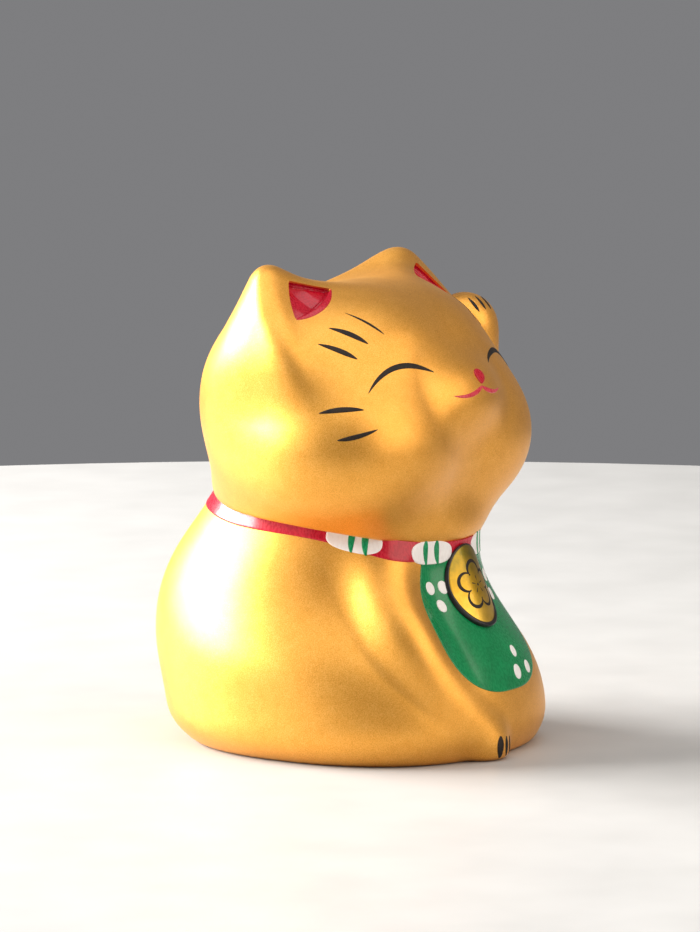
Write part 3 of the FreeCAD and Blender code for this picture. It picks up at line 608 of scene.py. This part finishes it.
def joined(shells):
    """Several closed meshes as one: points follow on, and the squares' numbers move with them."""
    starts = np.cumsum([0] + [len(points) for points, _ in shells[:-1]])
    squares = [square + start for (_, square), start in zip(shells, starts)]
    return np.concatenate([points for points, _ in shells]), np.concatenate(squares)


print("a net with 4 cells to an edge has", len(sphere_net(4)[0]), "points")

# %% From arrays to pieces
CREASE = 50.0  # degrees: edges that turn by more than this stay sharp


def finish_mesh(mesh, material):
    """Smooth faces, sharp creases and one material."""
    mesh.polygons.foreach_set("use_smooth", np.ones(len(mesh.polygons), bool))
    mesh.set_sharp_from_angle(angle=math.radians(CREASE))
    mesh.materials.clear()
    mesh.materials.append(material)


def make_piece(name, shell, material, slot, *nodes):
    """A closed mesh at the origin from points in millimetres, turned right side out by its volume."""
    points, squares = shell
    a, b, c, d = (points[squares[:, i]] for i in range(4))
    volume = ((a * np.cross(b, c)).sum() + (a * np.cross(c, d)).sum()) / 6
    if volume < 0:
        squares = squares[:, ::-1]
    mesh = bpy.data.meshes.new(name)
    mesh.from_pydata((points * UNIT).tolist(), [], squares.tolist())
    finish_mesh(mesh, material)
    piece = placed(name, mesh)
    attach(piece, "root")
    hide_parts(*nodes)
    print(name, len(squares), "squares,", round(abs(volume), 1), "cubic mm")
    return piece


def carve(piece, prisms):
    """Take prisms away from a piece for good; a prism is an outline and the shifts of its two ends."""
    points, faces = [], []
    for outline, top, bottom in prisms:
        count, start = len(outline), sum(len(ring) for ring in points)
        points += [outline + top, outline + bottom]
        faces += [[start + k for k in range(count)], [start + k for k in range(2 * count - 1, count - 1, -1)]]
        faces += (quads(2, count, wrap_columns=True) + start).tolist()
    mesh = bpy.data.meshes.new("cutter")
    mesh.from_pydata((np.concatenate(points) * UNIT).tolist(), [], faces)
    tidy = bmesh.new()
    tidy.from_mesh(mesh)
    bmesh.ops.recalc_face_normals(tidy, faces=tidy.faces)
    tidy.to_mesh(mesh)
    tidy.free()
    cutter = placed("cutter", mesh)
    step = piece.modifiers.new("carve", "BOOLEAN")
    step.operation = "DIFFERENCE"
    step.solver = "EXACT"
    step.object = cutter
    view = bpy.context.evaluated_depsgraph_get()
    carved = bpy.data.meshes.new_from_object(piece.evaluated_get(view))
    material = piece.data.materials[0]
    piece.modifiers.clear()
    piece.data = carved
    finish_mesh(carved, material)
    bpy.data.objects.remove(cutter)
    print(piece.name, "carved, now", len(carved.vertices), "points")


print("edges that turn by more than", CREASE, "degrees stay sharp")

# %% [markdown]
# ## Ear pockets
#
# The inside of each ear is a shallow three-cornered pocket with crisp lips, pressed into the clay
# before firing. Its outline is three arcs whose corners are rounded. A prism of that outline is
# carved out of the skin, and the enamel is laid in it later. A Boolean keeps the lip sharp, where
# a net of even cells would tear it into steps.

# %% Pocket outline
POCKET_CORNERS = np.array(((19.9, -0.6, 77.8), (13.3, -3.6, 75.5), (24.0, -3.9, 71.5)))
POCKET_BULGE = (0.25, 0.9, 0.35)  # how far each side bows out: inner, foot, outer
POCKET_ROUNDING = 0.5
POCKET_DEPTH = 1.9
CUTTER_STAND = 4.0  # how far the carving prism stands out of the skin
POCKET_TURNS = 96
POCKET_MIDDLE = POCKET_CORNERS.mean(0)
POCKET_FACING = unit(np.cross(POCKET_CORNERS[1] - POCKET_CORNERS[0], POCKET_CORNERS[2] - POCKET_CORNERS[0]))
POCKET_SIDE = unit((-POCKET_FACING[1], POCKET_FACING[0], 0.0))
POCKET_UP = np.cross(POCKET_FACING, POCKET_SIDE)
# the corners across and up in the pocket's own plane
POCKET_PLAN = (POCKET_CORNERS - POCKET_MIDDLE) @ np.stack([POCKET_SIDE, POCKET_UP], -1)


def pocket_rim(turn):
    """Radius at each turn about the middle: inside three large circles through two corners each."""
    ray = np.stack([np.cos(turn), np.sin(turn)], -1)
    radius = np.full(turn.shape, 12.0)
    for _ in range(80):
        place = ray * radius[..., None]
        outside = None
        for i, bulge in enumerate(POCKET_BULGE):
            start, end = POCKET_PLAN[i], POCKET_PLAN[(i + 1) % 3]
            half = np.linalg.norm(end - start) / 2
            circle = (half ** 2 + bulge ** 2) / (2 * bulge)
            away = np.array(((end - start)[1], -(end - start)[0])) / (2 * half)
            away = away * np.sign(away @ (start + end))
            side = np.linalg.norm(place - (start + end) / 2 + away * (circle - bulge), axis=-1) - circle
            outside = side if outside is None else soft_max(outside, side, POCKET_ROUNDING)
        radius = radius - np.clip(outside, -1, 1) * 0.7
    return radius


def pocket_prisms():
    """The outline drawn through the ear's face, for both ears."""
    turn = np.linspace(0, 2 * math.pi, POCKET_TURNS, endpoint=False)
    spoke = POCKET_SIDE * np.cos(turn)[:, None] + POCKET_UP * np.sin(turn)[:, None]
    outline = POCKET_MIDDLE + spoke * pocket_rim(turn)[:, None]
    return [(outline * side, POCKET_FACING * side * CUTTER_STAND, POCKET_FACING * side * -POCKET_DEPTH)
            for side in BOTH_SIDES]


print("pocket radius from", round(float(pocket_rim(np.linspace(0, 6.28, 60)).min()), 2), "mm")

# %% Head skin
HEAD_CELLS, HEAD_START = 122, 48.0  # cells to a cube's edge, and millimetres out
head_shell = skin(head_form, HEAD_CENTRE, HEAD_CELLS, HEAD_START)
head = make_piece("head_skin", head_shell, BODY_GOLD, "gold_body", "head_shell")
carve(head, pocket_prisms())

# %% [markdown]
# ## Trunk skin
#
# The trunk is a shell: an outer skin, and a cavity whose faces look inwards. The drain hole that
# the spare slip ran out of goes through the floor, behind the middle.

# %% Trunk skin
TRUNK_MIDDLE = np.array((0.0, 0.0, 18.0))
TRUNK_CELLS, TRUNK_START = 118, 60.0
CAVITY_CELLS, CAVITY_START = 36, 50.0
DRAIN_RADIUS, DRAIN_BACK = 4.5, 10.0
outer = skin(trunk_form, TRUNK_MIDDLE, TRUNK_CELLS, TRUNK_START)
points, squares = skin(trunk_cavity, TRUNK_MIDDLE, CAVITY_CELLS, CAVITY_START)
both = joined([outer, (points, squares[:, ::-1])])
trunk = make_piece("trunk_skin", both, BODY_GOLD, "gold_body", "trunk_shell")
turn = np.linspace(0, 2 * math.pi, 48, endpoint=False)
drain = np.stack([DRAIN_RADIUS * np.cos(turn), DRAIN_BACK + DRAIN_RADIUS * np.sin(turn), 0 * turn], -1)
carve(trunk, [(drain, np.array((0, 0, 2 * BASE_WALL)), np.array((0, 0, -1.0)))])

# %% Arm skin
ARM_CELLS, ARM_START, ARM_STEPS = 56, 32.0, 110
arm_shell = skin(arm_form, ARM_MIDDLE, ARM_CELLS, ARM_START, ARM_STEPS)
make_piece("arm_skin", arm_shell, BODY_GOLD, "gold_body", "raised_arm")

# %% [markdown]
# ## Films of enamel
#
# A brushed mark is a film a tenth or two of a millimetre thick: level on top, rounded where surface
# tension pulls its edge down, and tucked a hair under the skin all round. Each starts as a flat
# plan, a net of cells with the distance of every point from the edge. The plan is dropped on the
# form along one direction, and thickened along the skin's own normals.

# %% Plans
def spread(count):
    """Places from -1 to 1 that crowd towards both ends: the sines of even turns."""
    return np.sin(np.linspace(-math.pi / 2, math.pi / 2, count))


def blob(rim, cells=25):
    """A square net drawn into a disc, x = u sqrt(1 - v v / 2) and y = v sqrt(1 - u u / 2), then stretched
    to the rim."""
    u, v = np.meshgrid(spread(cells), spread(cells), indexing="ij")
    x, y = u * np.sqrt(1 - v ** 2 / 2), v * np.sqrt(1 - u ** 2 / 2)
    share, turn = np.hypot(x, y), np.arctan2(y, x)
    radius = rim(turn)
    return share * radius * np.cos(turn), share * radius * np.sin(turn), (1 - share) * radius


def oval(half_width, half_height, squareness=2.0):
    """Rim of a superellipse: (|cos / a| ^ n + |sin / b| ^ n) ^ (-1 / n)."""
    def rim(turn):
        across = np.abs(np.cos(turn) / half_width) ** squareness
        return (across + np.abs(np.sin(turn) / half_height) ** squareness) ** (-1 / squareness)
    return rim


def brushed(across, over, width, belly=0.0, blunt=0.06):
    """A brush carried along a path: full at the belly, a place from -1 to 1, and drawn out at both ends."""
    count = len(across)
    place = np.linspace(-1, 1, count)
    past = np.where(place > belly, (place - belly) / (1 - belly), (belly - place) / (1 + belly))
    half = width / 2 * ((1 - np.minimum(past, 1) ** 2) ** 0.8 + blunt)
    run, rise = np.gradient(across), np.gradient(over)
    length = np.hypot(run, rise)
    w = spread(11)
    x = across[:, None] - (rise / length * half)[:, None] * w
    y = over[:, None] + (run / length * half)[:, None] * w
    from_side = half[:, None] * (1 - np.abs(w))
    from_end = (np.minimum(np.arange(count), np.arange(count)[::-1]) * length.mean())[:, None]
    return x, y, np.minimum(from_side, from_end)


def stroke(length, width, bow=0.0, belly=0.0, turn=0.0, blunt=0.06):
    """A single stroke whose path is a parabola bow high in the middle, turned about its own middle."""
    s = np.linspace(-1, 1, 49)
    x, y = s * length / 2, bow * (1 - s ** 2)
    c, d = math.cos(math.radians(turn)), math.sin(math.radians(turn))
    return brushed(x * c - y * d, x * d + y * c, width, belly, blunt)


print("an oval of half width 2 mm reaches", round(float(oval(2.0, 1.0)(0.0)), 2), "mm across")

# %% Films
TUCK = 0.04  # millimetres that an edge goes under the skin
ROUND_EDGE = 0.22  # millimetres in from the edge that the film takes to reach its full thickness


def normals(form, points, step=0.05):
    """The direction in which the distance grows fastest, from its differences over a small step."""
    return unit(np.stack([form(points + step * axis) - form(points - step * axis) for axis in np.eye(3)], -1))


def closed(top, bottom):
    """Two nets of the same size as the two faces of a closed film, joined by a strip round their edge."""
    rows, columns = top.shape[:2]
    number = np.arange(rows * columns).reshape(rows, columns)
    loop = np.concatenate([number[0, :-1], number[:-1, -1], number[-1, :0:-1], number[:0:-1, 0]])
    after, under = np.roll(loop, -1), rows * columns
    strip = np.stack([loop, after, after + under, loop + under], -1)
    face = quads(rows, columns)
    points = np.concatenate([top.reshape(-1, 3), bottom.reshape(-1, 3)])
    return points, np.concatenate([face, face[:, ::-1] + under, strip])


def film(plan, anchor, facing, form, thickness, lift=0.0, turn=0.0, bury=0.3, edge=ROUND_EDGE):
    """Drop a plan on a form through an anchor. Height rises from the edge as a quarter circle; lift is the
    thickness of the films below."""
    x, y, inset = plan
    side = unit((-facing[1], facing[0], 0.0))
    up = np.cross(facing, side)
    c, s = math.cos(turn), math.sin(turn)
    flat = anchor + (x * c - y * s)[..., None] * side + (x * s + y * c)[..., None] * up
    base = landed(form, flat, facing)
    out = normals(form, base)
    share = np.clip(inset / edge, 0, 1)
    height = lift + np.sqrt(1 - (1 - share) ** 2) * (thickness + TUCK) - TUCK
    return closed(base + out * height[..., None], base - out * bury)


print("a film's edge takes", ROUND_EDGE, "mm to round over, and is tucked in by", TUCK, "mm")

# %% [markdown]
# ## Collar and pads
#
# A red band is painted round the neck, just under the head, with a hand's slight waver. Four white
# ovals lie across it, and on each the brush has left two short green strokes.

# %% Collar
COLLAR_WIDTH = 2.9
COLLAR_THICK = 0.14
COLLAR_TURNS = 300
PAD_THICK = 0.12
STRIPE_THICK = 0.08
PAD_BEARINGS = {"outer_right": -57.0, "inner_right": -20.5, "inner_left": 20.5, "outer_left": 54.5}
PAD_DROP = 1.5
PAD_HALF_LENGTH, PAD_HALF_HEIGHT, PAD_SQUARENESS = 4.6, 1.9, 2.5
NECK_RADIUS = 20  # where the lift of the neck line is read
NECK_FALL = (40.0, 80)  # the start and the steps of a landing on the neck
PAD_STRIPES = {"outer_right": (-0.2, 2.0), "inner_right": (-1.25, 1.25), "inner_left": (-1.2, 1.2),
               "outer_left": (-1.9, 0.4)}
NECK_AXIS = np.array((0.0, 0.0, NECK_LEVEL))
NECK_UP = unit((0.0, -NECK_SLOPE, 1.0))


def neck_outward(bearing):
    """Outward direction at a bearing in radians, in the tilted plane of the neck."""
    return unit(np.stack([np.sin(bearing), -np.cos(bearing), -NECK_SLOPE * np.cos(bearing)], -1))


def collar_ring():
    """Round the neck by columns; each row is a place on the band's section, over the top and back inside."""
    bearing = np.linspace(0, 2 * math.pi, COLLAR_TURNS, endpoint=False)
    waver = 0.09 * np.sin(3 * bearing + 1.0) + 0.05 * np.sin(7 * bearing + 0.4)
    share = np.concatenate([[0.0, 0.02, 0.05, 0.09], np.linspace(0.15, 0.9, 8), [1.0]])
    height = COLLAR_THICK * np.sqrt(1 - (1 - np.clip(share / 0.09, 0, 1)) ** 2) - TUCK * (share == 0)
    share, height = np.append(share, [1.0, 0.0]), np.append(height, [-0.5, -0.5])
    level = (-COLLAR_WIDTH + waver)[None] * (1 - share[:, None]) + 0.15 * share[:, None]
    facing = np.broadcast_to(neck_outward(bearing)[None], level.shape + (3,))
    level = level + neck_lift(np.sin(bearing) * NECK_RADIUS, -np.cos(bearing) * NECK_RADIUS)
    base = landed(uncut_trunk, NECK_AXIS + level[..., None] * NECK_UP, facing, *NECK_FALL)
    out = normals(uncut_trunk, base)
    points = base + out * height[:, None, None]
    return points.reshape(-1, 3), quads(len(share), COLLAR_TURNS, True, True)


make_piece("collar_film", collar_ring(), RED, "red_enamel", "collar_band")
for name, bearing in PAD_BEARINGS.items():
    facing = neck_outward(math.radians(bearing))
    slant = math.atan(NECK_SLOPE * math.sin(math.radians(bearing)))
    level = neck_lift(facing[0] * NECK_RADIUS, facing[1] * NECK_RADIUS) - PAD_DROP
    anchor = landed(uncut_trunk, NECK_AXIS + level * NECK_UP, facing, *NECK_FALL)
    plan = blob(oval(PAD_HALF_LENGTH, PAD_HALF_HEIGHT, PAD_SQUARENESS))
    pad = film(plan, anchor, facing, uncut_trunk, PAD_THICK, COLLAR_THICK, slant)
    make_piece("collar_pad_" + name, pad, WHITE, "white_enamel", "collar_oval_" + name)
    stripes = []
    for number, place in enumerate(PAD_STRIPES[name]):
        x, y, inset = stroke(3.9, 0.85, 0.22, 0.3, 90 + 5 * number, blunt=0.35)
        stripes.append(film((x + place, y, inset), anchor, facing, uncut_trunk, STRIPE_THICK,
                            COLLAR_THICK + PAD_THICK, slant))
    make_piece("pad_stripes_" + name, joined(stripes), STRIPE_GREEN, "green_enamel", "oval_stripes_" + name)

# %% [markdown]
# ## Bib and its dots
#
# The bib hangs from the collar like a napkin. Its edge is one smooth line through a few points on
# each side, and the dots are single touches of a round brush.

# %% Bib
BIB_MIDDLE = np.array((0.0, 0.0, 22.0))
# offset to the side and level, from the hem up to the collar
BIB_EDGE = ((0.0, 10.7), (5.2, 11.0), (9.8, 12.9), (12.7, 16.4), (13.5, 20.4), (12.9, 24.6), (11.2, 28.4),
            (9.9, 31.5), (9.3, 33.2), (0.0, 33.8))
BIB_THICK = 0.13
DOT_THICK = 0.10
BIB_OUT = 26  # millimetres forward of the axis, from where its films land
# offset to the side, level and half width
UPPER_DOTS = ((8.9, 27.6, 0.98), (6.2, 27.5, 0.98), (7.9, 24.7, 0.9))
LOWER_DOTS = ((3.7, 16.3, 0.85), (2.5, 13.2, 1.1), (6.8, 13.4, 0.95))
FRONT = np.array((0.0, -1.0, 0.0))


def bib_rim():
    """Radius at each turn about the bib's middle: a spline through both halves of the edge, and round."""
    edge = np.array(BIB_EDGE) - (0.0, BIB_MIDDLE[2])
    turn = np.arctan2(edge[:, 1], edge[:, 0])
    radius = np.hypot(edge[:, 0], edge[:, 1])
    turns = np.concatenate([turn, math.pi - turn[-2:0:-1]])
    radii = np.concatenate([radius, radius[-2:0:-1]])
    knots = np.concatenate([turns - 2 * math.pi, turns, turns + 2 * math.pi])
    line = natural_spline(knots, np.tile(radii, 3))
    return lambda place: line(place)[..., 0]


bib = film(blob(bib_rim(), 91), BIB_MIDDLE + FRONT * BIB_OUT, FRONT, trunk_form, BIB_THICK)
make_piece("bib_film", bib, GREEN, "green_enamel", "bib")
DOT_GROUPS = {"left": UPPER_DOTS, "right": [(-x, z, r) for x, z, r in UPPER_DOTS], "lower": LOWER_DOTS}
for group, dots in DOT_GROUPS.items():
    films = [film(blob(oval(r, 1.1 * r), 15), np.array((x, -BIB_OUT, z)), FRONT, trunk_form, DOT_THICK,
                  BIB_THICK) for x, z, r in dots]
    make_piece("bib_dot_films_" + group, joined(films), WHITE, "white_enamel", "bib_dots_" + group)

# %% [markdown]
# ## Coin
#
# The coin is an oval boss pressed into the chest, slightly domed, with a raised rim painted black.
# Its mark is a plum blossom drawn with a fine brush: five petals, five stamens and a dot.

# %% Coin plate and rim
COIN_HALF_WIDTH = 5.8
COIN_HALF_HEIGHT = 7.1
COIN_LEVEL = 26.8
COIN_LEAN = math.radians(21.0)
COIN_EDGE = 0.5  # how far the plate's edge stands off the chest
COIN_DOME = 1.3  # how much further its middle does
PLATE_INSET, PLATE_THICK, PLATE_BURY = 0.3, 0.06, 1.6
COIN_RIM = 0.7
RIM_STAND = 0.75
RIM_HEAVY = 0.35  # how much thicker the rim is painted at its foot
RIM_TURNS, RIM_SECTION = 160, 24
COIN_FACING = np.array((0.0, -math.cos(COIN_LEAN), math.sin(COIN_LEAN)))
COIN_SIDE = np.array((1.0, 0.0, 0.0))
COIN_UP = np.cross(COIN_FACING, COIN_SIDE)
COIN_MIDDLE = landed(trunk_form, np.array((0.0, 0.0, COIN_LEVEL)), FRONT, 40.0)


def coin_form(point):
    """The chest brought out by the plate's own height: a low dome that follows the chest at its edge."""
    local = point - COIN_MIDDLE
    ratio = np.hypot(local @ COIN_SIDE / COIN_HALF_WIDTH, local @ COIN_UP / COIN_HALF_HEIGHT)
    return (trunk_form(point) - COIN_EDGE - COIN_DOME * np.clip(1 - ratio ** 2, 0, 1)) * 0.8


def coin_ring():
    """A rounded section carried round the oval, along the oval's own normals, and laid on the chest."""
    turn = np.linspace(0, 2 * math.pi, RIM_TURNS, endpoint=False)
    a, b = COIN_HALF_WIDTH - COIN_RIM / 2, COIN_HALF_HEIGHT - COIN_RIM / 2
    x, y = a * np.cos(turn), b * np.sin(turn)
    out = unit(np.stack([b * np.cos(turn), a * np.sin(turn)], -1))
    swing = np.linspace(0, 2 * math.pi, RIM_SECTION, endpoint=False)
    heavy = 1 + RIM_HEAVY * np.clip(-np.sin(turn), 0, 1)
    wide = np.sign(np.cos(swing)) * np.abs(np.cos(swing)) ** 0.7 * (COIN_RIM / 2) * heavy[:, None]
    tall = np.sign(np.sin(swing)) * np.abs(np.sin(swing)) ** 0.7 * RIM_STAND * heavy[:, None]
    across, over = x[:, None] + out[:, :1] * wide, y[:, None] + out[:, 1:] * wide
    flat = COIN_MIDDLE + across[..., None] * COIN_SIDE + over[..., None] * COIN_UP
    points = landed(trunk_form, flat, COIN_FACING) + COIN_FACING * tall[..., None]
    return points.reshape(-1, 3), quads(RIM_TURNS, RIM_SECTION, True, True)


plan = blob(oval(COIN_HALF_WIDTH - PLATE_INSET, COIN_HALF_HEIGHT - PLATE_INSET), 61)
plate = film(plan, COIN_MIDDLE, COIN_FACING, coin_form, PLATE_THICK, bury=PLATE_BURY)
make_piece("coin_plate", plate, COIN_GOLD, "antique_gold", "coin")
make_piece("coin_rim_ring", coin_ring(), RIM_BLACK, "black_enamel", "coin_rim")

# %% Blossom
PETAL_CIRCLE = 2.5
PETAL_RADIUS = 1.55
PETAL_OPEN = math.radians(128)  # how far the petal's line goes round on each side of its top
MARK_THICK = 0.07


def blossom():
    """Each petal is an arc about a point on a circle; each stamen is a short stroke out towards a petal."""
    drops = []
    for k in range(5):
        tip = math.pi / 2 + k * 2 * math.pi / 5
        swing = np.linspace(-PETAL_OPEN, PETAL_OPEN, 41) + tip
        x = PETAL_CIRCLE * math.cos(tip) + PETAL_RADIUS * np.cos(swing)
        y = PETAL_CIRCLE * math.sin(tip) + PETAL_RADIUS * np.sin(swing)
        drops.append(brushed(x, y, 0.6, 0.2, 0.25))
        reach = np.linspace(0.5, 1.6, 15)
        drops.append(brushed(reach * math.cos(tip), reach * math.sin(tip), 0.22, 0.7, 0.5))
    drops.append(blob(oval(0.3, 0.3), 9))
    return joined([film(plan, COIN_MIDDLE, COIN_FACING, coin_form, MARK_THICK, edge=0.12) for plan in drops])


make_piece("blossom_mark", blossom(), BLACK, "black_enamel", "coin_emblem")

# %% [markdown]
# ## Face
#
# The face is seven strokes on each side, and a nose. A stroke has its place as a bearing and a pitch
# from the middle of the head, and its length, turn, bow, width and belly. The left side mirrors the
# right.

# %% Face
# bearing, pitch, length, turn, bow, width, belly
EYE = (39.6, 15.4, 13.8, 16.1, 2.7, 0.95, 0.25)
TEMPLES = ((53.1, 39.2, 7.4, -30.7, 0.2, 0.48, 0.3), (60.3, 32.5, 6.8, -18.8, 0.35, 0.95, 0.1),
           (64.1, 25.7, 6.7, -17.0, 0.25, 0.9, 0.2))
WHISKERS = ((61.9, 5.5, 7.3, 4.8, 0.3, 0.85, 0.0), (57.0, -1.3, 6.8, 13.4, -0.2, 0.75, -0.2))
LIP_HALF = (8.2, 10.9, 7.6, 8.0, -0.8, 0.75, 0.5)
NOSE_BEARING = 1.6
NOSE_PITCH = 16.0
NOSE_THICK = 0.16
STROKE_THICK = 0.07
FACE_OUT = 24  # millimetres from the head's centre, from where the strokes land


def face_stroke(sign, bearing, pitch, length, turn, bow, width, belly):
    """One stroke; sign is 1 on the cat's left, and -1 on its right, where the turns hold as they are."""
    facing = outward(sign * bearing, pitch)
    plan = stroke(length, width, bow, -sign * belly, -sign * turn)
    return film(plan, HEAD_CENTRE + facing * FACE_OUT, facing, head_form, STROKE_THICK, edge=0.16)


def nose_rim(turn):
    """An oval whose radius swells by 0.3 of itself, as a bell over the turn, where it points at the mouth."""
    return oval(1.3, 1.15)(turn) * (1 + 0.3 * np.exp(-((turn + 1.9) / 0.5) ** 2))


for side, sign in (("right", -1), ("left", 1)):
    make_piece("eye_film_" + side, face_stroke(sign, *EYE), BLACK, "black_enamel", "eye_" + side)
    for name, group in (("temple_strokes", TEMPLES), ("whiskers", WHISKERS)):
        films = joined([face_stroke(sign, *values) for values in group])
        make_piece(name + "_film_" + side, films, BLACK, "black_enamel", name + "_" + side)
lips = joined([face_stroke(sign, *LIP_HALF) for sign in (-1, 1)])
make_piece("mouth_film", lips, LIP, "lip_enamel", "mouth")
facing = outward(NOSE_BEARING, NOSE_PITCH)
nose = film(blob(nose_rim, 21), HEAD_CENTRE + facing * FACE_OUT, facing, head_form, NOSE_THICK, STROKE_THICK)
make_piece("nose_film", nose, RED, "red_enamel", "nose")

# %% [markdown]
# ## Ear linings
#
# The red enamel fills the pocket: it covers the floor, climbs the walls to the lip, and at the foot
# of the ear runs over the lip in a narrow crescent. A soft valley runs down the pocket's middle.

# %% Ear linings
LINING_LIP = 0.14  # millimetres in from the outline where the wall meets the floor
LINING_FLOOR = 1.0  # millimetres below the skin
LINING_VALLEY = 0.35  # how much deeper the middle is
VALLEY_HALF_WIDTH = 2.4
LINING_OVERLAP, LINING_TUCK = 0.03, 0.02  # past the outline, and below the lip
LINING_BURY = 0.3  # how far it goes into the pocket's floor
CRESCENT_BOW, CRESCENT_WIDTH, CRESCENT_THICK = 1.25, 0.95, 0.08


def ear_lining():
    """A blob inside the pocket's outline that sinks steeply at its rim, deepest along the middle."""
    x, y, inset = blob(lambda turn: pocket_rim(turn) + LINING_OVERLAP, 61)
    flat = POCKET_MIDDLE + x[..., None] * POCKET_SIDE + y[..., None] * POCKET_UP
    base = landed(head_form, flat, POCKET_FACING)
    share = np.clip(inset / LINING_LIP, 0, 1)
    line = unit(POCKET_PLAN[0])
    beside = np.abs(x * line[1] - y * line[0])
    floor = LINING_FLOOR + LINING_VALLEY * np.clip(1 - beside / VALLEY_HALF_WIDTH, 0, 1)
    sink = LINING_TUCK + floor * np.sqrt(share) * np.clip(inset / 0.5, 0.75, 1)
    return closed(base - POCKET_FACING * sink[..., None], base - POCKET_FACING * (POCKET_DEPTH + LINING_BURY))


def ear_crescent():
    """A stroke along the pocket's foot, bowed outwards, from corner to corner."""
    foot = POCKET_PLAN[1:]
    s = np.linspace(-1, 1, 61)
    middle, half = foot.mean(0), (foot[1] - foot[0]) / 2
    path = middle + s[:, None] * half + (CRESCENT_BOW * (1 - s ** 2))[:, None] * unit(middle)
    plan = brushed(path[:, 0], path[:, 1], CRESCENT_WIDTH, 0.1, 0.1)
    return film(plan, POCKET_MIDDLE, POCKET_FACING, head_form, CRESCENT_THICK)


points, squares = joined([ear_lining(), ear_crescent()])
for side, turned in zip(("left", "right"), BOTH_SIDES):
    make_piece("ear_red_" + side, (points * turned, squares), RED, "red_enamel", "ear_lining_" + side)

# %% [markdown]
# ## Claws
#
# Dark strokes between the toes: on the standing paw they run down to the foot, and on the raised
# paw over its top.

# %% Claws
# across, level, length and width; on the raised paw, across and length
FORELEG_CLAWS = ((-6.0, 2.35, 3.7, 1.3), (-4.3, 2.3, 3.3, 0.75), (-2.8, 2.2, 3.0, 0.7))
TOES_OUT = 30.0  # millimetres forward of the axis, from where these claws land
PAW_CLAWS = ((-1.7, 3.4), (-0.1, 3.3), (1.5, 3.1))
claws = [film(stroke(length, width, 0.25, 0.2, 90, blunt=0.2), np.array((x, -TOES_OUT, z)), outward(-14),
              trunk_form, STROKE_THICK) for x, z, length, width in FORELEG_CLAWS]
make_piece("standing_claw_films", joined(claws), BLACK, "black_enamel", "foreleg_claws")
facing = outward(-8, 48)
side = unit((-facing[1], facing[0], 0.0))
claws = [film(stroke(length, 0.6, 0.15, -0.2, 90), PAW_MIDDLE + side * place, facing, arm_form,
              STROKE_THICK) for place, length in PAW_CLAWS]
make_piece("raised_claw_films", joined(claws), BLACK, "black_enamel", "raised_paw_claws")

# %% [markdown]
# ## Table and light
#
# The cat stands on a round white table top in a grey room. A wide panel, like a window, stands
# behind its right shoulder and makes the white highlights on the head and haunch. A weak panel at
# its right side, a large one overhead and a warm one in front fill the rest.

# %% Table
TABLE_RADIUS = 0.36
TABLE_THICK = 0.02
TABLE_TURNS = 128


def make_table():
    """A disc of rings whose rim rounds over, closed underneath."""
    turn = np.linspace(0, 2 * math.pi, TABLE_TURNS, endpoint=False)
    profile = ((0.001, 0.0), (0.1, 0.0), (TABLE_RADIUS - 0.004, 0.0), (TABLE_RADIUS - 0.001, -0.001),
               (TABLE_RADIUS, -0.004), (TABLE_RADIUS, -TABLE_THICK), (0.001, -TABLE_THICK))
    rings = [np.stack([r * np.cos(turn), r * np.sin(turn), z + 0 * turn], -1) for r, z in profile]
    faces = quads(len(profile), TABLE_TURNS, wrap_columns=True).tolist()
    last = (len(profile) - 1) * TABLE_TURNS
    faces += [list(range(TABLE_TURNS)), list(range(last, last + TABLE_TURNS))[::-1]]
    mesh = bpy.data.meshes.new("table_top")
    mesh.from_pydata(np.concatenate(rings).tolist(), [], [face[::-1] for face in faces])
    made, tree, shader, place = start_material("satin_white_laminate")
    tint = ramp(tree, node(tree, "ShaderNodeTexNoise", Vector=place, Scale=60.0).outputs["Fac"],
                (0.3, linear("#B4B3B1")), (0.7, linear("#BBBAB8")))
    feed(tree, shader, Base_Color=tint, Roughness=0.5)
    finish_mesh(mesh, made)
    placed("table_top", mesh)


make_table()
print("table", 2 * TABLE_RADIUS, "m across")

# %% Light
# name, bearing in degrees, then metres: height, distance, width and height of the panel; watts, colour
LIGHTS = (("window", -160, 0.42, 0.9, 0.85, 0.45, 38.0, "#FFFDFA"),
          ("side_fill", -108, 0.45, 1.1, 0.8, 0.8, 1.6, "#FFFFFF"),
          ("overhead", -60, 1.1, 0.25, 1.3, 1.3, 8.0, "#FFFFFF"),
          ("front_fill", 8, 0.50, 0.9, 0.9, 0.9, 5.5, "#FFF4E6"))
LIT_LEVEL = 0.04  # metres up the cat that the panels face
ROOM, ROOM_STRENGTH = "#848486", 0.9


def softbox(name, bearing, height, distance, width, tall, watts, colour):
    """A panel that stands at a bearing and height and faces the middle of the cat."""
    lamp = bpy.data.lights.new(name, "AREA")
    lamp.shape = "RECTANGLE"
    lamp.size, lamp.size_y = width, tall
    lamp.energy = watts
    lamp.color = linear(colour)[:3]
    made = placed(name, lamp)
    out = outward(bearing)
    made.location = Vector((out[0] * distance, out[1] * distance, height))
    aim = Vector((0, 0, LIT_LEVEL)) - made.location
    made.rotation_euler = aim.to_track_quat("-Z", "Y").to_euler()


for light in LIGHTS:
    softbox(*light)
world = bpy.data.worlds.new("grey_room")
world.use_nodes = True
feed(world.node_tree, world.node_tree.nodes["Background"], Color=linear(ROOM), Strength=ROOM_STRENGTH)
bpy.context.scene.world = world
bpy.context.scene.view_settings.view_transform = "Standard"
print("lights", [light[0] for light in LIGHTS])

# %% Sizes, and finish
print("cad", [round(v * 1000, 1) for v in (*CAD_LOW, *CAD_HIGH)])
